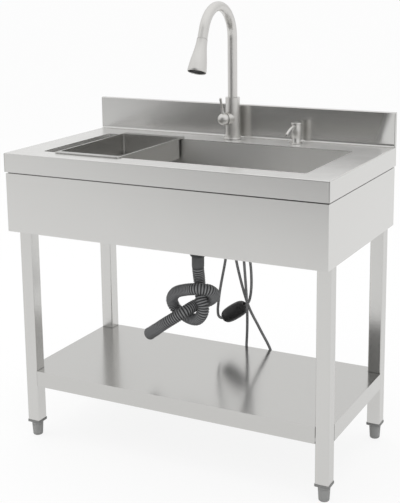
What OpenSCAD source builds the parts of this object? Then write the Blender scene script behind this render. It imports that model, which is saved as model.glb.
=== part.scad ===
// Freestanding stainless steel sink unit with a pull-down tap, a soap pump and a sliding drain tray.
// Origin on the floor under the middle of the worktop. X to the right, Y to the back, Z up.

/* [Worktop] */
// Width over the side lips
top_w = 1000; // [940:10:1200]
// Depth over the front lip and the upstand
top_d = 545; // [535:5:640]
// Height of the worktop above the floor
deck_h = 890; // [850:10:950]
// Height of the folded lip
lip_h = 56; // [40:2:70]
// Thickness of the stainless sheet
sheet_t = 1.5; // [1.2:0.1:2]
// Outer radius of the folds
bend_r = 3; // [2.5:0.5:5]

/* [Upstand] */
// Height of the upstand above the worktop
upstand_h = 102; // [80:2:160]
// Thickness of the hollow upstand
upstand_t = 16; // [12:1:25]
// Drop of the flange at the back of the upstand
upstand_drop = 20; // [12:1:40]
// Radius of the cove where the upstand meets the worktop
cove_r = 8; // [4:1:10]

/* [Bowl] */
// Worktop left at each end of the bowl opening
bowl_side = 90; // [90:1:140]
// Worktop left in front of the bowl opening
bowl_front = 69; // [66:1:90]
// Worktop left behind the bowl opening
bowl_back = 118; // [112:1:140]
// Depth of the bowl below the worktop
bowl_depth = 225; // [180:5:225]
// Corner radius of the bowl
bowl_r = 10; // [9:1:30]
// Fillet between the walls and the floor of the bowl
floor_r = 8; // [5:1:8]
// Width of the flange round the top of the bowl
bowl_rim = 10; // [6:1:12]

/* [Apron] */
// Height of the apron below the lip
apron_h = 177; // [175:1:200]
// Distance of the apron behind the face of the lip
apron_set = 2.5; // [2:0.1:4]
// Width of the flange at the top of the apron
apron_flange = 15; // [10:1:18]
// Width of the hem at the foot of the apron
apron_hem = 5.5; // [4:0.5:6]
// Height of the groove between the lip and the face of the apron
groove_h = 4; // [2:0.5:6]
// Depth of the groove at the front
groove_front = 8; // [4:0.5:8]
// Depth of the groove at the sides
groove_side = 3; // [2:0.1:3]
// Height of the rail between the side aprons at the back
rear_rail_h = 58; // [40:1:120]

/* [Frame] */
// Width of the square leg tube
leg_w = 40; // [36:1:42]
// Wall of the leg tube
leg_t = 1.5; // [1.2:0.1:2]
// Corner radius of the leg tube
leg_r = 3; // [2.5:0.5:5]
// Distance of the legs from the side lips
leg_side = 10; // [9:0.5:14]
// Distance of the front legs from the front lip
leg_front = 45; // [30:1:60]
// Distance of the rear legs from the back
leg_back = 30; // [28:1:50]
// Height of the foot of the leg tube above the floor
leg_lift = 52; // [48:1:70]
// Width of the rails under the worktop
rail_w = 40; // [30:1:42]
// Height of the rails under the worktop
rail_h = 25; // [20:1:30]
// Length of the sleeve that holds the top of a leg
socket_h = 80; // [60:2:100]

/* [Shelf] */
// Height of the top of the shelf above the floor
shelf_h = 214; // [180:2:300]
// Height of the lip of the shelf
shelf_lip = 48; // [40:1:60]
// Width of each stiffener under the shelf
rib_w = 60; // [40:2:90]
// Height of each stiffener under the shelf
rib_h = 20; // [12:1:30]

/* [Feet] */
// Largest diameter of a foot
foot_d = 35; // [32:0.5:38]
// Diameter of the flat under a foot
foot_flat = 22; // [18:1:26]
// Diameter of the foot's threaded stud
stud_d = 10; // [8:1:12]
// Width of the square plug flange
plug_w = 43; // [42:0.5:50]
// Thickness of the plug flange
plug_t = 7; // [4:0.5:9]
// Depth of the plug inside the leg
plug_in = 28; // [20:1:40]

/* [Drain] */
// Diameter of the hole in the bowl for the waste
waste_hole = 90; // [88:1:94]
// Diameter of the waste flange
waste_flange = 112; // [108:1:120]
// Depth of the waste cup
cup_h = 50; // [44:1:50]
// Outer diameter of the waste cup
cup_d = 84; // [80:1:86]
// Outer diameter of the waste outlet
outlet_d = 40; // [38:1:41]
// Length of the waste outlet below the cup
outlet_l = 30; // [26:1:34]
// Diameter of the strainer basket
basket_d = 76; // [70:1:76]
// Number of slots in the strainer basket
basket_slots = 8; // [6:1:10]

/* [Tap] */
// Distance of the tap and soap pump row from the back
tap_back = 56.5; // [54:0.5:60]
// Diameter of the tap's base flange
base_d = 52; // [50:1:56]
// Thickness of the tap's base flange
base_h = 7; // [5:0.5:10]
// Diameter of the tap's body
body_d = 44; // [43:0.5:46]
// Height of the tap's body above the worktop
body_h = 129; // [125:1:150]
// Outer diameter of the spout tube
spout_d = 29; // [26:0.5:30]
// Wall of the spout tube
spout_t = 1.5; // [1:0.1:2]
// Height above the worktop at which the spout starts to bend
neck_h = 311; // [260:1:340]
// Radius of the spout's bend
spout_r = 96; // [85:1:105]
// Angle that the spout bends through
spout_turn = 158; // [150:1:165]
// Straight end of the spout after the bend
spout_end = 30; // [28:1:40]
// Diameter of the tap's threaded shank
shank_d = 34; // [33:0.5:34]
// Length of the shank below the worktop
shank_l = 92; // [80:1:110]

/* [Spray head] */
// Length of the spray head
head_l = 100; // [90:1:120]
// Diameter of the spray head at the spout
head_top_d = 31; // [30:0.5:33]
// Largest diameter of the spray head
head_d = 55; // [50:0.5:60]
// Wall of the spray head
head_t = 2.5; // [2:0.1:3]
// Diameter of the spray hose
hose_d = 8.5; // [8:0.1:9]

/* [Handle] */
// Direction that the handle hub points in, from +X
hub_turn = 250; // [215:1:260]
// Height of the hub's axis above the worktop
hub_h = 65; // [60:1:70]
// Distance of the handle ball's centre from the tap's axis
ball_out = 38; // [36:0.5:42]
// Diameter of the handle ball
ball_d = 37; // [34:0.5:38]
// Length of the lever above the ball's centre
lever_l = 68; // [60:1:80]
// Diameter of the lever at its top
lever_d = 8; // [6:0.5:9]
// Lean of the lever away from the body at rest
lever_lean = 12; // [0:1:20]

/* [Soap pump] */
// Distance of the soap pump from the tap
soap_x = 210; // [180:5:240]
// Diameter of the soap pump's flange
soap_flange = 38; // [36:0.5:44]
// Outer diameter of the soap pump's collar
collar_d = 25.4; // [25:0.2:27]
// Outer diameter of the pump head's skirt
skirt_d = 28; // [27.8:0.2:31]
// Diameter of the pump head's cap
cap_d = 32; // [32:0.5:38]
// Height of the cap above the worktop
cap_h = 63; // [60:1:75]
// Reach of the soap spout from the pump's axis
soap_reach = 76; // [60:1:85]
// Drop of the soap spout from its root to its tip
soap_drop = 18; // [12:1:24]
// Diameter of the soap spout
soap_tube = 9; // [8:0.5:10]
// Travel of the soap pump
soap_travel = 12; // [8:0.5:12]
// Diameter of the soap bottle
bottle_d = 62; // [56:1:70]
// Length of the soap bottle
bottle_l = 140; // [110:5:160]

/* [Drain tray] */
// Width of the tray
tray_w = 215; // [180:5:300]
// Depth of the tray's box below the worktop
tray_h = 60; // [50:1:90]
// Gap between the left end of the bowl and the tray
tray_x = 52; // [35:1:80]
// Width of the tray's flanges that lie on the worktop
tray_flange = 18; // [14:0.5:25]
// Height of the tray's rim above the worktop
tray_rim = 4; // [3:0.5:10]
// Width of the hem along the tray's left and right walls
tray_hem = 4; // [2:0.5:6]
// Corner radius of the tray's flanges
tray_r = 8; // [6:1:14]
// Diameter of the drain holes in the tray
tray_hole = 8; // [6:0.5:9]
// Pitch of the drain holes in the tray
tray_pitch = 36; // [30:1:45]

/* [Hose weight] */
// Length of the hose weight
weight_l = 92; // [80:1:100]
// Diameter of the hose weight
weight_d = 50; // [44:1:52]

/* [Hidden] */

$fn = 64;
steel = [0.74, 0.74, 0.73];
bright = [0.80, 0.80, 0.79];
dark_grey = [0.33, 0.33, 0.34];
black = [0.12, 0.12, 0.12];
white_plastic = [0.90, 0.90, 0.88];
grey_plastic = [0.55, 0.56, 0.56];

// Overshoot of a cut past the face that it opens
cut = 1;
// Gap between two pieces that move on each other
run = 0.3;
// Gap on each side of a piece that slips into another
slip = 0.2;
// Radial gap of a shaft that turns in its hole
turn = 0.05;

lip_z = deck_h - lip_h;
under_z = deck_h - sheet_t;
front_y = -top_d / 2;
back_y = top_d / 2;
upstand_y = back_y - upstand_t;
tap_y = back_y - tap_back;

open_w = top_w - 2 * bowl_side;
open_d = top_d - bowl_front - bowl_back;
open_y = (bowl_front - bowl_back) / 2;
floor_z = deck_h - bowl_depth;

apron_x = top_w / 2 - apron_set;
apron_y = top_d / 2 - apron_set;
apron_z = lip_z - apron_h;

leg_x = top_w / 2 - leg_side - leg_w / 2;
leg_fy = front_y + leg_front + leg_w / 2;
leg_by = back_y - leg_back - leg_w / 2;
rail_x = apron_x - sheet_t - apron_flange - slip - rail_w / 2;
rail_z = under_z - rail_h;
socket_plate = 4;
socket_margin = 2.5;
rail_flange = 10;
// Gap between the front rail and the flange of the bowl
rail_gap = 2;
socket_wall = 2;
leg_top = rail_z - socket_plate;
LEGS = [[-leg_x, leg_fy], [leg_x, leg_fy], [-leg_x, leg_by], [leg_x, leg_by]];

bolt_d = 6;
bolt_head_d = 10;
bolt_head_h = 4;
bolt_l = 12;
bolt_gap = 0.1;
screw_d = 5;
screw_head_d = 9;
screw_head_h = 2.5;
screw_l = 9;

shelf_z = shelf_h - shelf_lip;
shelf_fy = leg_fy - leg_w / 2;
shelf_by = leg_by + leg_w / 2;
shelf_mid = (shelf_fy + shelf_by) / 2;
shelf_w = 2 * leg_x + leg_w;
shelf_d = shelf_by - shelf_fy;
shelf_hem = 12;
tab_w = 25;
tab_h = 30;
tab_t = 2;

plug_z = leg_lift - plug_t;
foot_top = plug_z - run;

// The waste hangs from the floor of the bowl.
waste_lip = 2;
cup_z = floor_z - cup_h;
outlet_z = cup_z - outlet_l;
cup_t = 2;
cup_bevel = 6;
outlet_t = 3;
gasket_h = 4;
waste_nut_h = 14;
drain_nut_h = 22;
hose_bore = 28;
drain_d = 36;
drain_z = outlet_z - 7;
basket_h = 34;
basket_t = 1.5;
basket_bevel = 8;

hub_z = deck_h + hub_h;
body_top = deck_h + body_h;
bush_l = 30;
bush_t = 3;
seat_gap = run;
barrel_d = ball_d + 2;
// Distances from the ball's centre back to the mouth of the barrel and to the turning disc
ball_proud = 6;
yoke_back = 24;
barrel_l = ball_out - ball_proud;
barrel_lip = 4.5;
hose_way = 12;
wide_way = 28;
way_web = 2;
yoke_x = ball_out - yoke_back;
yoke_t = 3;
yoke_d = 24;
tang_w = 4;
eye_d = 9;
pin_d = 5;
pin_sink = 2;
slot_l = 26;
// Sink of the lever in the ball
lever_root = 4;
lever_foot_d = 9;
lever_waist = 6;
lever_ring_z = ball_d / 2 + 12;
lever_ring_h = 4;

neck_z = deck_h + neck_h;
spout_bore = spout_d - 2 * spout_t;
// Height of a seam in a bent tube, and how far it stands proud of the diameter
seam_h = 1;
seam_out = 0.1;
head_lean = 180 - spout_turn;
// Where the spout ends, from its bend's centre
end_y = tap_y - spout_r - spout_r * cos(head_lean) - spout_end * sin(head_lean);
end_z = neck_z + spout_r * sin(head_lean) - spout_end * cos(head_lean);
dock_l = 20;
plug_d = 16;
dock_depth = 12;
tail_l = 14;

shank_z = deck_h - shank_l;
plate_h = 12;
plate_z = shank_z - plate_h / 2;
nut_h = 12;
nut_af = 46;
washer_h = 3;
shank_bore = shank_d - 4;

soap_y = tap_y;
soap_shank_d = 24;
soap_shank_l = 46;
collar_h = 36;
collar_top = deck_h + collar_h;
cap_top = deck_h + cap_h;
cap_t = 5;
skirt_lap = 19;
skirt_web = 1;
barrel_od = 15;
barrel_id = 12;
barrel_h = 70;
barrel_z = collar_top - barrel_h;
barrel_floor = 4;
barrel_rim_d = 20;
barrel_rim_h = 2;
stem_d = 6;
spring_h = 30;
dip_d = 4;
bottle_neck = 18;
bottle_z = deck_h - soap_shank_l + bottle_neck - bottle_l;

// Gaps between the tray's box and the front and back of the bowl
tray_front_gap = 2;
tray_back_gap = 6.5;
tray_clear = 0.1;
tray_l = open_d - tray_front_gap - tray_back_gap;
tray_x0 = -open_w / 2 + tray_x;
tray_corner = 10;

// Route of the drain hose: x, distance behind the waste's axis, z
drain_route = [[0, 0, drain_z], [0, 0, 560], [0, 0, 540], [-1, 8, 507], [4, 5, 477], [15, -10, 451],
    [23, -14, 430], [19, -14, 407], [-1, -7, 385], [-30, 2, 381], [-59, 7, 390], [-83, 5, 408],
    [-88, -3, 435], [-68, -13, 461], [-31, -25, 477], [4, -36, 487], [28, -32, 489], [45, -15, 482],
    [46, 13, 461], [25, 27, 439], [3, 23, 428], [-14, 4, 423], [-33, -32, 410], [-69, -46, 385],
    [-96, -45, 366], [-124, -38, 345], [-156, -26, 322]];
// Number of ribs on the drain hose
drain_ribs = 112;
rib_depth = 1.6;
// Smooth cuffs at the two ends of the drain hose
cuff_start = 36;
cuff_end = 44;
cuff_d = 37;

// Routes of the thin hoses: x, distance behind the tap's axis, z
hot_route = [[-8.8, -5.1, plate_z], [-9, -6, 770], [-4, -10, 690], [6, -11, 590], [16, -11, 500],
    [49, -4, 371], [80, 15, 290], [112, 34, 212], [124, 38, 150], [126, 38, 120]];
cold_route = [[8.8, -5.1, plate_z], [10, -6, 770], [22, -10, 690], [34, -12, 590], [43, -13, 500],
    [52, -14, 374], [42, 10, 290], [28, 34, 212], [25, 38, 150], [25, 38, 120]];
weight_mid = [-8, 22, 326];
weight_tilt = 35;
weight_gap = 0.5;
weight_slit = 1;
weight_dir = [cos(weight_tilt), 0, sin(weight_tilt)];
// Stops of the hose along its weight, as shares of the weight's length
weight_stops = [-0.5, -0.39, -0.22, 0, 0.22, 0.4, 0.55];
coupler_l = 36;
coupler_d = 16;
coupler_at = [24, 12, 640];
loop_route = concat([[0, 0, plate_z], [-1, 2, 765], [-8, 5, 690], [-20, 8, 590], [-33, 10, 500],
    [-55, 15, 400], [-66, 19, 335], [-67, 20, 322], [-67, 21, 311], [-65, 22, 303], [-58, 22, 298]],
    [for (s = weight_stops) weight_mid + s * weight_l * weight_dir],
    [[46, 19, 374], [54, 14, 408], [56, 12, 450], [52, 12, 500], [38, 12, 570], [27, 12, 616], coupler_at]);
loop_top = [coupler_at + [0, 0, coupler_l], [20, 12, 710], [4, 11, 765], [0, 10.2, plate_z]];
tube_sides = 8;
supply_steps = 13;
loop_steps = 2 * (len(loop_route) - 1);
supply_nut_d = 22;
supply_nut_h = 16;
supply_bore = 18.6;
supply_web = 4;

// Rectangle with rounded corners, centred
module round_rect(w, d, r) {
    square([w - 2 * r, d], center = true);
    square([w, d - 2 * r], center = true);
    for (x = [-1, 1], y = [-1, 1])
        translate([x * (w / 2 - r), y * (d / 2 - r)]) circle(r);
}

// Box section with both top corners rounded
module fold_section(a, b, low, high, r) {
    translate([a, low]) square([b - a, high - low - r]);
    translate([a + r, low]) square([b - a - 2 * r, high - low]);
    for (x = [a + r, b - r])
        translate([x, high - r]) circle(r);
}

// Square tube standing on the XY plane
module square_tube(w, t, r, h) {
    linear_extrude(h) difference() {
        round_rect(w, w, r);
        round_rect(w - 2 * t, w - 2 * t, r - t);
    }
}

// Fillet in a corner, with its root sunk in both walls
module fillet_section(r, root) {
    difference() {
        translate([-root, -root]) square([r + root, r + root]);
        translate([r, r]) circle(r);
    }
}

// Hexagonal nut round a hole
module hex_nut(across, h, hole) {
    difference() {
        cylinder(d = across / cos(30), h = h, $fn = 6);
        translate([0, 0, -cut]) cylinder(d = hole, h = h + 2 * cut);
    }
}

// Bolt that points along +X with its head at the origin
module bolt(d, l, head_d, head_h) {
    rotate([0, 90, 0]) {
        translate([0, 0, -head_h]) cylinder(d = head_d, h = head_h);
        cylinder(d = d, h = l);
    }
}

// Points and frames for a swept tube
function unit(v) = v / norm(v);
function clamp_i(i, n) = min(max(i, 0), n - 1);
function spline(p, t) =
    let (n = len(p), i = min(floor(t), n - 2), u = t - i,
        a = p[clamp_i(i - 1, n)], b = p[i], c = p[i + 1], d = p[clamp_i(i + 2, n)])
    0.5 * (2 * b + (c - a) * u + (2 * a - 5 * b + 4 * c - d) * u * u + (3 * b - a - 3 * c + d) * u * u * u);
function spline_points(p, n) = [for (i = [0:n]) spline(p, (len(p) - 1) * i / n)];
function tangent(p, i) = unit(p[clamp_i(i + 1, len(p))] - p[clamp_i(i - 1, len(p))]);
// A ring of corners round point i, turned so that its first corner faces the back
function ring(p, i, r, sides) =
    let (t = tangent(p, i), s = unit(cross(t, [0, 1, 0])), u = cross(s, t))
    [for (k = [0:sides - 1]) p[i] + r * (cos(360 * k / sides) * u + sin(360 * k / sides) * s)];
function flat(rings) = [for (a = rings, b = a) b];
function side_faces(n, sides, base, flip) =
    [for (i = [0:n - 2], k = [0:sides - 1])
        let (a = base + i * sides + k, b = base + i * sides + (k + 1) % sides, c = a + sides, d = b + sides)
        each flip ? [[a, b, c], [b, d, c]] : [[a, c, b], [b, c, d]]];

// Solid tube along points
module swept_tube(p, d, sides) {
    n = len(p);
    faces = concat(side_faces(n, sides, 0, false),
        [for (k = [1:sides - 2]) [0, k, k + 1]],
        [for (k = [1:sides - 2]) [(n - 1) * sides, (n - 1) * sides + k + 1, (n - 1) * sides + k]]);
    polyhedron(flat([for (i = [0:n - 1]) ring(p, i, d / 2, sides)]), faces, convexity = 10);
}

// Route that is given from the tap's axis, in the row's frame
function from_tap(route) = [for (q = route) [q[0], tap_y + q[1], q[2]]];

module sink_pan(inset, low, length) {
    intersection() {
        rotate([90, 0, 90]) linear_extrude(top_w + 2 * cut, center = true)
            fold_section(front_y + inset, back_y + upstand_t, low, deck_h - inset, bend_r - inset);
        translate([0, (length - top_d) / 2, 0]) rotate([90, 0, 0]) linear_extrude(length, center = true)
            fold_section(-top_w / 2 + inset, top_w / 2 - inset, low, deck_h - inset, bend_r - inset);
    }
}

module upstand_outline() {
    fold_section(upstand_y, back_y, under_z, deck_h + upstand_h, bend_r);
}

// Worktop, its lips and the upstand, folded from one sheet
module sink_top() {
    color(steel) difference() {
        union() {
            difference() {
                sink_pan(0, lip_z, top_d);
                sink_pan(sheet_t, lip_z - cut, top_d + 2 * cut);
                translate([-top_w / 2 + sheet_t, upstand_y + sheet_t, lip_z - cut])
                    cube([top_w - 2 * sheet_t, upstand_t, lip_h + 2 * cut]);
            }
            rotate([90, 0, 90]) linear_extrude(top_w - 2 * sheet_t, center = true) difference() {
                upstand_outline();
                fold_section(upstand_y + sheet_t, back_y - sheet_t, under_z - cut,
                    deck_h + upstand_h - sheet_t, bend_r - sheet_t);
                translate([back_y - sheet_t - cut, under_z - cut])
                    square([sheet_t + 2 * cut, upstand_h + sheet_t + cut - upstand_drop]);
            }
            translate([0, upstand_y, deck_h]) rotate([90, 0, 90])
                linear_extrude(top_w - 2 * sheet_t, center = true)
                    mirror([1, 0]) fillet_section(cove_r, sheet_t / 2);
        }
        translate([0, open_y, under_z - cut]) linear_extrude(sheet_t + 2 * cut)
            round_rect(open_w, open_d, bowl_r);
        translate([0, tap_y, under_z - cut]) cylinder(d = shank_d + 1, h = sheet_t + 2 * cut);
        translate([soap_x, soap_y, under_z - cut]) cylinder(d = soap_shank_d + 1, h = sheet_t + 2 * cut);
    }
}

// Plates that close the ends of the upstand
module upstand_caps() {
    color(steel) for (x = [-top_w / 2, top_w / 2 - sheet_t])
        translate([x, 0, 0]) rotate([90, 0, 90]) linear_extrude(sheet_t) intersection() {
            upstand_outline();
            translate([upstand_y, deck_h]) square([upstand_t, upstand_h]);
        }
}

// Bowl with a flange under the worktop, a floor fillet and a waste hole
module bowl() {
    color(steel) difference() {
        union() {
            difference() {
                union() {
                    translate([0, open_y, floor_z - sheet_t]) linear_extrude(bowl_depth)
                        round_rect(open_w + 2 * sheet_t, open_d + 2 * sheet_t, bowl_r + sheet_t);
                    translate([0, open_y, under_z - sheet_t]) linear_extrude(sheet_t)
                        round_rect(open_w + 2 * bowl_rim, open_d + 2 * bowl_rim, bowl_r + bowl_rim);
                }
                translate([0, open_y, floor_z]) linear_extrude(bowl_depth)
                    round_rect(open_w, open_d, bowl_r);
            }
            bowl_fillets();
        }
        translate([0, open_y, floor_z - sheet_t - cut]) cylinder(d = waste_hole, h = sheet_t + 2 * cut);
    }
}

module bowl_fillets() {
    root = sheet_t / 2;
    for (s = [-1, 1]) {
        translate([0, open_y + s * open_d / 2, floor_z]) rotate([90, 0, 90])
            linear_extrude(open_w - 2 * bowl_r, center = true)
                mirror([(s + 1) / 2, 0]) fillet_section(floor_r, root);
        translate([s * open_w / 2, open_y, floor_z]) rotate([90, 0, 0])
            linear_extrude(open_d - 2 * bowl_r, center = true)
                mirror([(s + 1) / 2, 0]) fillet_section(floor_r, root);
    }
    for (i = [0:3])
        translate([(i == 0 || i == 3 ? 1 : -1) * (open_w / 2 - bowl_r),
            open_y + (i < 2 ? 1 : -1) * (open_d / 2 - bowl_r), floor_z])
            rotate([0, 0, 90 * i]) rotate_extrude(angle = 90)
                translate([bowl_r, 0]) mirror([1, 0]) fillet_section(floor_r, root);
}

// Outline of the apron, set in by three amounts: side, front and back
module apron_outline(inset) {
    translate([inset[0] - apron_x, inset[1] - apron_y])
        square([2 * (apron_x - inset[0]), 2 * apron_y - inset[1] - inset[2]]);
}

// Ring between two outlines of the apron
module apron_ring(outer, inner, low, high) {
    translate([0, 0, low]) linear_extrude(high - low) difference() {
        apron_outline(outer);
        apron_outline(inner);
    }
}

// Apron on the front and both sides: a hem, a face, a groove under the lip, a top flange, returns at the back
module apron() {
    wall = [sheet_t, sheet_t, sheet_t];
    groove = [groove_side, groove_front, 0];
    ledge_z = lip_z - groove_h;
    return_x = apron_x - sheet_t - apron_flange;
    color(steel) difference() {
        union() {
            apron_ring([0, 0, 0], wall, apron_z, ledge_z);
            apron_ring([0, 0, 0], wall + [apron_hem, apron_hem, 0], apron_z, apron_z + sheet_t);
            apron_ring([0, 0, 0], wall + groove, ledge_z - sheet_t, ledge_z);
            apron_ring(groove, wall + groove, ledge_z - sheet_t, under_z);
            apron_ring(groove, wall + [apron_flange, apron_flange, 0], under_z - sheet_t, under_z);
        }
        translate([-return_x, 0, apron_z - cut]) cube([2 * return_x, top_d, under_z - apron_z + 2 * cut]);
    }
}

// Angle between the side aprons that carries the back of the worktop
module rear_rail() {
    half = apron_x - sheet_t - apron_flange - slip;
    color(steel) difference() {
        translate([-half, upstand_y - rail_flange, under_z - rear_rail_h])
            cube([2 * half, apron_y - upstand_y + rail_flange, rear_rail_h]);
        translate([-half - cut, upstand_y - rail_flange - cut, under_z - rear_rail_h - cut])
            cube([2 * half + 2 * cut, apron_y - upstand_y + rail_flange + cut - sheet_t,
                rear_rail_h - sheet_t + cut]);
    }
}

module box_rail(width, length) {
    difference() {
        translate([-width / 2, 0, 0]) cube([width, length, rail_h]);
        translate([-width / 2 + sheet_t, -cut, sheet_t])
            cube([width - 2 * sheet_t, length + 2 * cut, rail_h - 2 * sheet_t]);
    }
}

// Rails under the two ends and the front of the worktop
module top_rails() {
    rail_fy = -apron_y + sheet_t + apron_flange + slip;
    front_w = open_y - open_d / 2 - bowl_rim - rail_gap - rail_fy;
    color(steel) {
        for (x = [-rail_x, rail_x])
            translate([x, rail_fy, rail_z]) box_rail(rail_w, upstand_y - rail_flange - slip - rail_fy);
        translate([-rail_x + rail_w / 2, rail_fy + front_w / 2, rail_z])
            rotate([0, 0, -90]) box_rail(front_w, 2 * rail_x - rail_w);
    }
}

// Sleeve with a plate, under the end rails
module leg_socket() {
    inside = leg_w + 2 * slip;
    outside = inside + 2 * socket_wall;
    plate_w = leg_w + 2 * socket_margin;
    plate_d = leg_w + 4 * socket_margin;
    difference() {
        union() {
            translate([-plate_w / 2, -plate_d / 2, leg_top]) cube([plate_w, plate_d, socket_plate]);
            translate([-outside / 2, -outside / 2, leg_top - socket_h]) cube([outside, outside, socket_h]);
        }
        translate([-inside / 2, -inside / 2, leg_top - socket_h - cut]) cube([inside, inside, socket_h + cut]);
        for (z = bolt_heights())
            translate([-outside / 2 - cut, 0, z]) rotate([0, 90, 0])
                cylinder(d = bolt_d + 2 * bolt_gap, h = socket_wall + 2 * cut);
    }
}

// Fasteners sit a quarter of the way in from each end of what they hold.
function bolt_heights() = [leg_top - socket_h / 4, leg_top - socket_h * 3 / 4];
function screw_heights() = [shelf_h - sheet_t - tab_h / 4, shelf_h - sheet_t - tab_h * 3 / 4];

// Places a piece at leg i, with its +X side turned away from the middle
module at_leg(i) {
    translate([LEGS[i][0], LEGS[i][1], 0]) mirror([LEGS[i][0] < 0 ? 1 : 0, 0, 0]) children();
}

module leg_sockets() {
    color(steel) for (i = [0:3]) at_leg(i) leg_socket();
}

module leg(i) {
    color(steel) at_leg(i) difference() {
        translate([0, 0, leg_lift]) square_tube(leg_w, leg_t, leg_r, leg_top - leg_lift);
        for (z = bolt_heights())
            translate([-leg_w / 2 - cut, 0, z]) rotate([0, 90, 0])
                cylinder(d = bolt_d + 2 * bolt_gap, h = leg_t + 2 * cut);
        for (z = screw_heights())
            translate([-leg_w / 2 - cut, tab_y(i), z]) rotate([0, 90, 0])
                cylinder(d = screw_d + 2 * bolt_gap, h = leg_t + 2 * cut);
    }
}

// Distance of a shelf screw from the middle of leg i
function tab_y(i) = (i < 2 ? -1 : 1) * (leg_w / 2 - sheet_t - tab_w / 2);

module leg_bolts() {
    color(bright) for (i = [0:3], z = bolt_heights()) at_leg(i)
        translate([-leg_w / 2 - slip - socket_wall, 0, z]) bolt(bolt_d, bolt_l, bolt_head_d, bolt_head_h);
}

// Shelf with lips between the legs
module shelf() {
    notch = leg_w + slip;
    color(steel) difference() {
        translate([-shelf_w / 2, shelf_fy, shelf_z]) cube([shelf_w, shelf_d, shelf_lip]);
        translate([-shelf_w / 2 + sheet_t, shelf_fy + sheet_t, shelf_z + sheet_t])
            cube([shelf_w - 2 * sheet_t, shelf_d - 2 * sheet_t, shelf_lip - 2 * sheet_t]);
        translate([-shelf_w / 2 + shelf_hem, shelf_fy + shelf_hem, shelf_z - cut])
            cube([shelf_w - 2 * shelf_hem, shelf_d - 2 * shelf_hem, 2 * sheet_t + cut]);
        for (i = [0:3]) at_leg(i)
            translate([-notch + leg_w / 2, i < 2 ? -leg_w / 2 - cut : leg_w / 2 + cut - notch - cut, shelf_z - cut])
                cube([notch + cut, notch + cut, shelf_lip + 2 * cut]);
    }
}

// Hat channels under the shelf
module shelf_ribs() {
    length = shelf_w - 2 * leg_w - 2 * tab_t;
    color(steel) for (s = [-1, 1])
        translate([-length / 2, shelf_mid + s * shelf_d / 5 - rib_w / 2, shelf_h - sheet_t - rib_h]) difference() {
            cube([length, rib_w, rib_h]);
            translate([-cut, sheet_t, sheet_t]) cube([length + 2 * cut, rib_w - 2 * sheet_t, rib_h - 2 * sheet_t]);
        }
}

// Angles that join the shelf to the legs
module shelf_tabs() {
    z = shelf_h - sheet_t - tab_h;
    color(steel) for (i = [0:3]) at_leg(i) mirror([0, i < 2 ? 0 : 1, 0])
        translate([-leg_w / 2 - tab_w, -leg_w / 2 + sheet_t, z]) difference() {
            cube([tab_w, tab_w, tab_h]);
            translate([-cut, tab_t, -cut]) cube([tab_w - tab_t + cut, tab_w, tab_h + 2 * cut]);
            for (h = screw_heights())
                translate([tab_w - tab_t - cut, tab_w / 2, h - z]) rotate([0, 90, 0])
                    cylinder(d = screw_d + 2 * bolt_gap, h = tab_t + 2 * cut);
        }
}

module shelf_screws() {
    color(bright) for (i = [0:3], z = screw_heights()) at_leg(i)
        translate([-leg_w / 2 - tab_t, tab_y(i), z]) bolt(screw_d, screw_l, screw_head_d, screw_head_h);
}

// Square plugs in the feet of the legs
module foot_plugs() {
    body = leg_w - 2 * leg_t - 2 * slip;
    color(grey_plastic) for (p = LEGS) translate([p[0], p[1], plug_z]) difference() {
        union() {
            linear_extrude(plug_t) round_rect(plug_w, plug_w, 4);
            linear_extrude(plug_t + plug_in) round_rect(body, body, 2);
        }
        translate([0, 0, -cut]) cylinder(d = stud_d + 2 * turn, h = plug_t + plug_in + 2 * cut);
    }
}

// Foot with a threaded stud
module foot(i) {
    edge = 4;
    bevel = 1;
    stud_spare = 6;
    color(grey_plastic) translate([LEGS[i][0], LEGS[i][1], 0]) rotate_extrude() {
        square([foot_flat / 2, foot_top]);
        translate([foot_flat / 2, edge]) circle(edge);
        polygon([[0, edge], [foot_flat / 2 + edge, edge], [foot_d / 2, foot_top - bevel],
            [foot_d / 2 - bevel, foot_top], [0, foot_top]]);
        square([stud_d / 2, foot_top + plug_t + plug_in + stud_spare]);
    }
}

// Cup with a flange that lies on the floor of the bowl
module waste_body() {
    lip_edge = 0.8;
    inner = cup_d / 2 - cup_t;
    color(bright) translate([0, open_y, 0]) difference() {
        rotate_extrude() polygon([[0, outlet_z], [outlet_d / 2, outlet_z], [outlet_d / 2, cup_z],
            [cup_d / 2 - cup_bevel, cup_z], [cup_d / 2, cup_z + cup_bevel], [cup_d / 2, floor_z],
            [waste_flange / 2, floor_z], [waste_flange / 2, floor_z + lip_edge],
            [waste_flange / 2 - 2 * waste_lip, floor_z + waste_lip], [0, floor_z + waste_lip]]);
        rotate_extrude() polygon([[0, cup_z + cup_t], [inner - cup_bevel, cup_z + cup_t],
            [inner, cup_z + cup_t + cup_bevel], [inner, floor_z],
            [inner + waste_lip + cut, floor_z + waste_lip + cut], [0, floor_z + waste_lip + cut]]);
        translate([0, 0, outlet_z - cut]) cylinder(d = outlet_d - 2 * outlet_t, h = outlet_l + cup_t + 2 * cut);
    }
}

module waste_gasket() {
    color(black) translate([0, open_y, floor_z - sheet_t - gasket_h]) difference() {
        cylinder(d = waste_flange - 2, h = gasket_h);
        translate([0, 0, -cut]) cylinder(d = cup_d + 2 * slip, h = gasket_h + 2 * cut);
    }
}

module waste_nut() {
    lug = 10;
    color(white_plastic) translate([0, open_y, floor_z - sheet_t - gasket_h - waste_nut_h]) difference() {
        union() {
            cylinder(d = waste_flange - 6, h = waste_nut_h);
            for (a = [0:60:300]) rotate([0, 0, a])
                translate([waste_flange / 2 - lug / 2, -lug / 2, 0]) cube([lug / 2, lug, waste_nut_h * 3 / 4]);
        }
        translate([0, 0, -cut]) cylinder(d = cup_d + 2 * slip, h = waste_nut_h + 2 * cut);
    }
}

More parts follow.
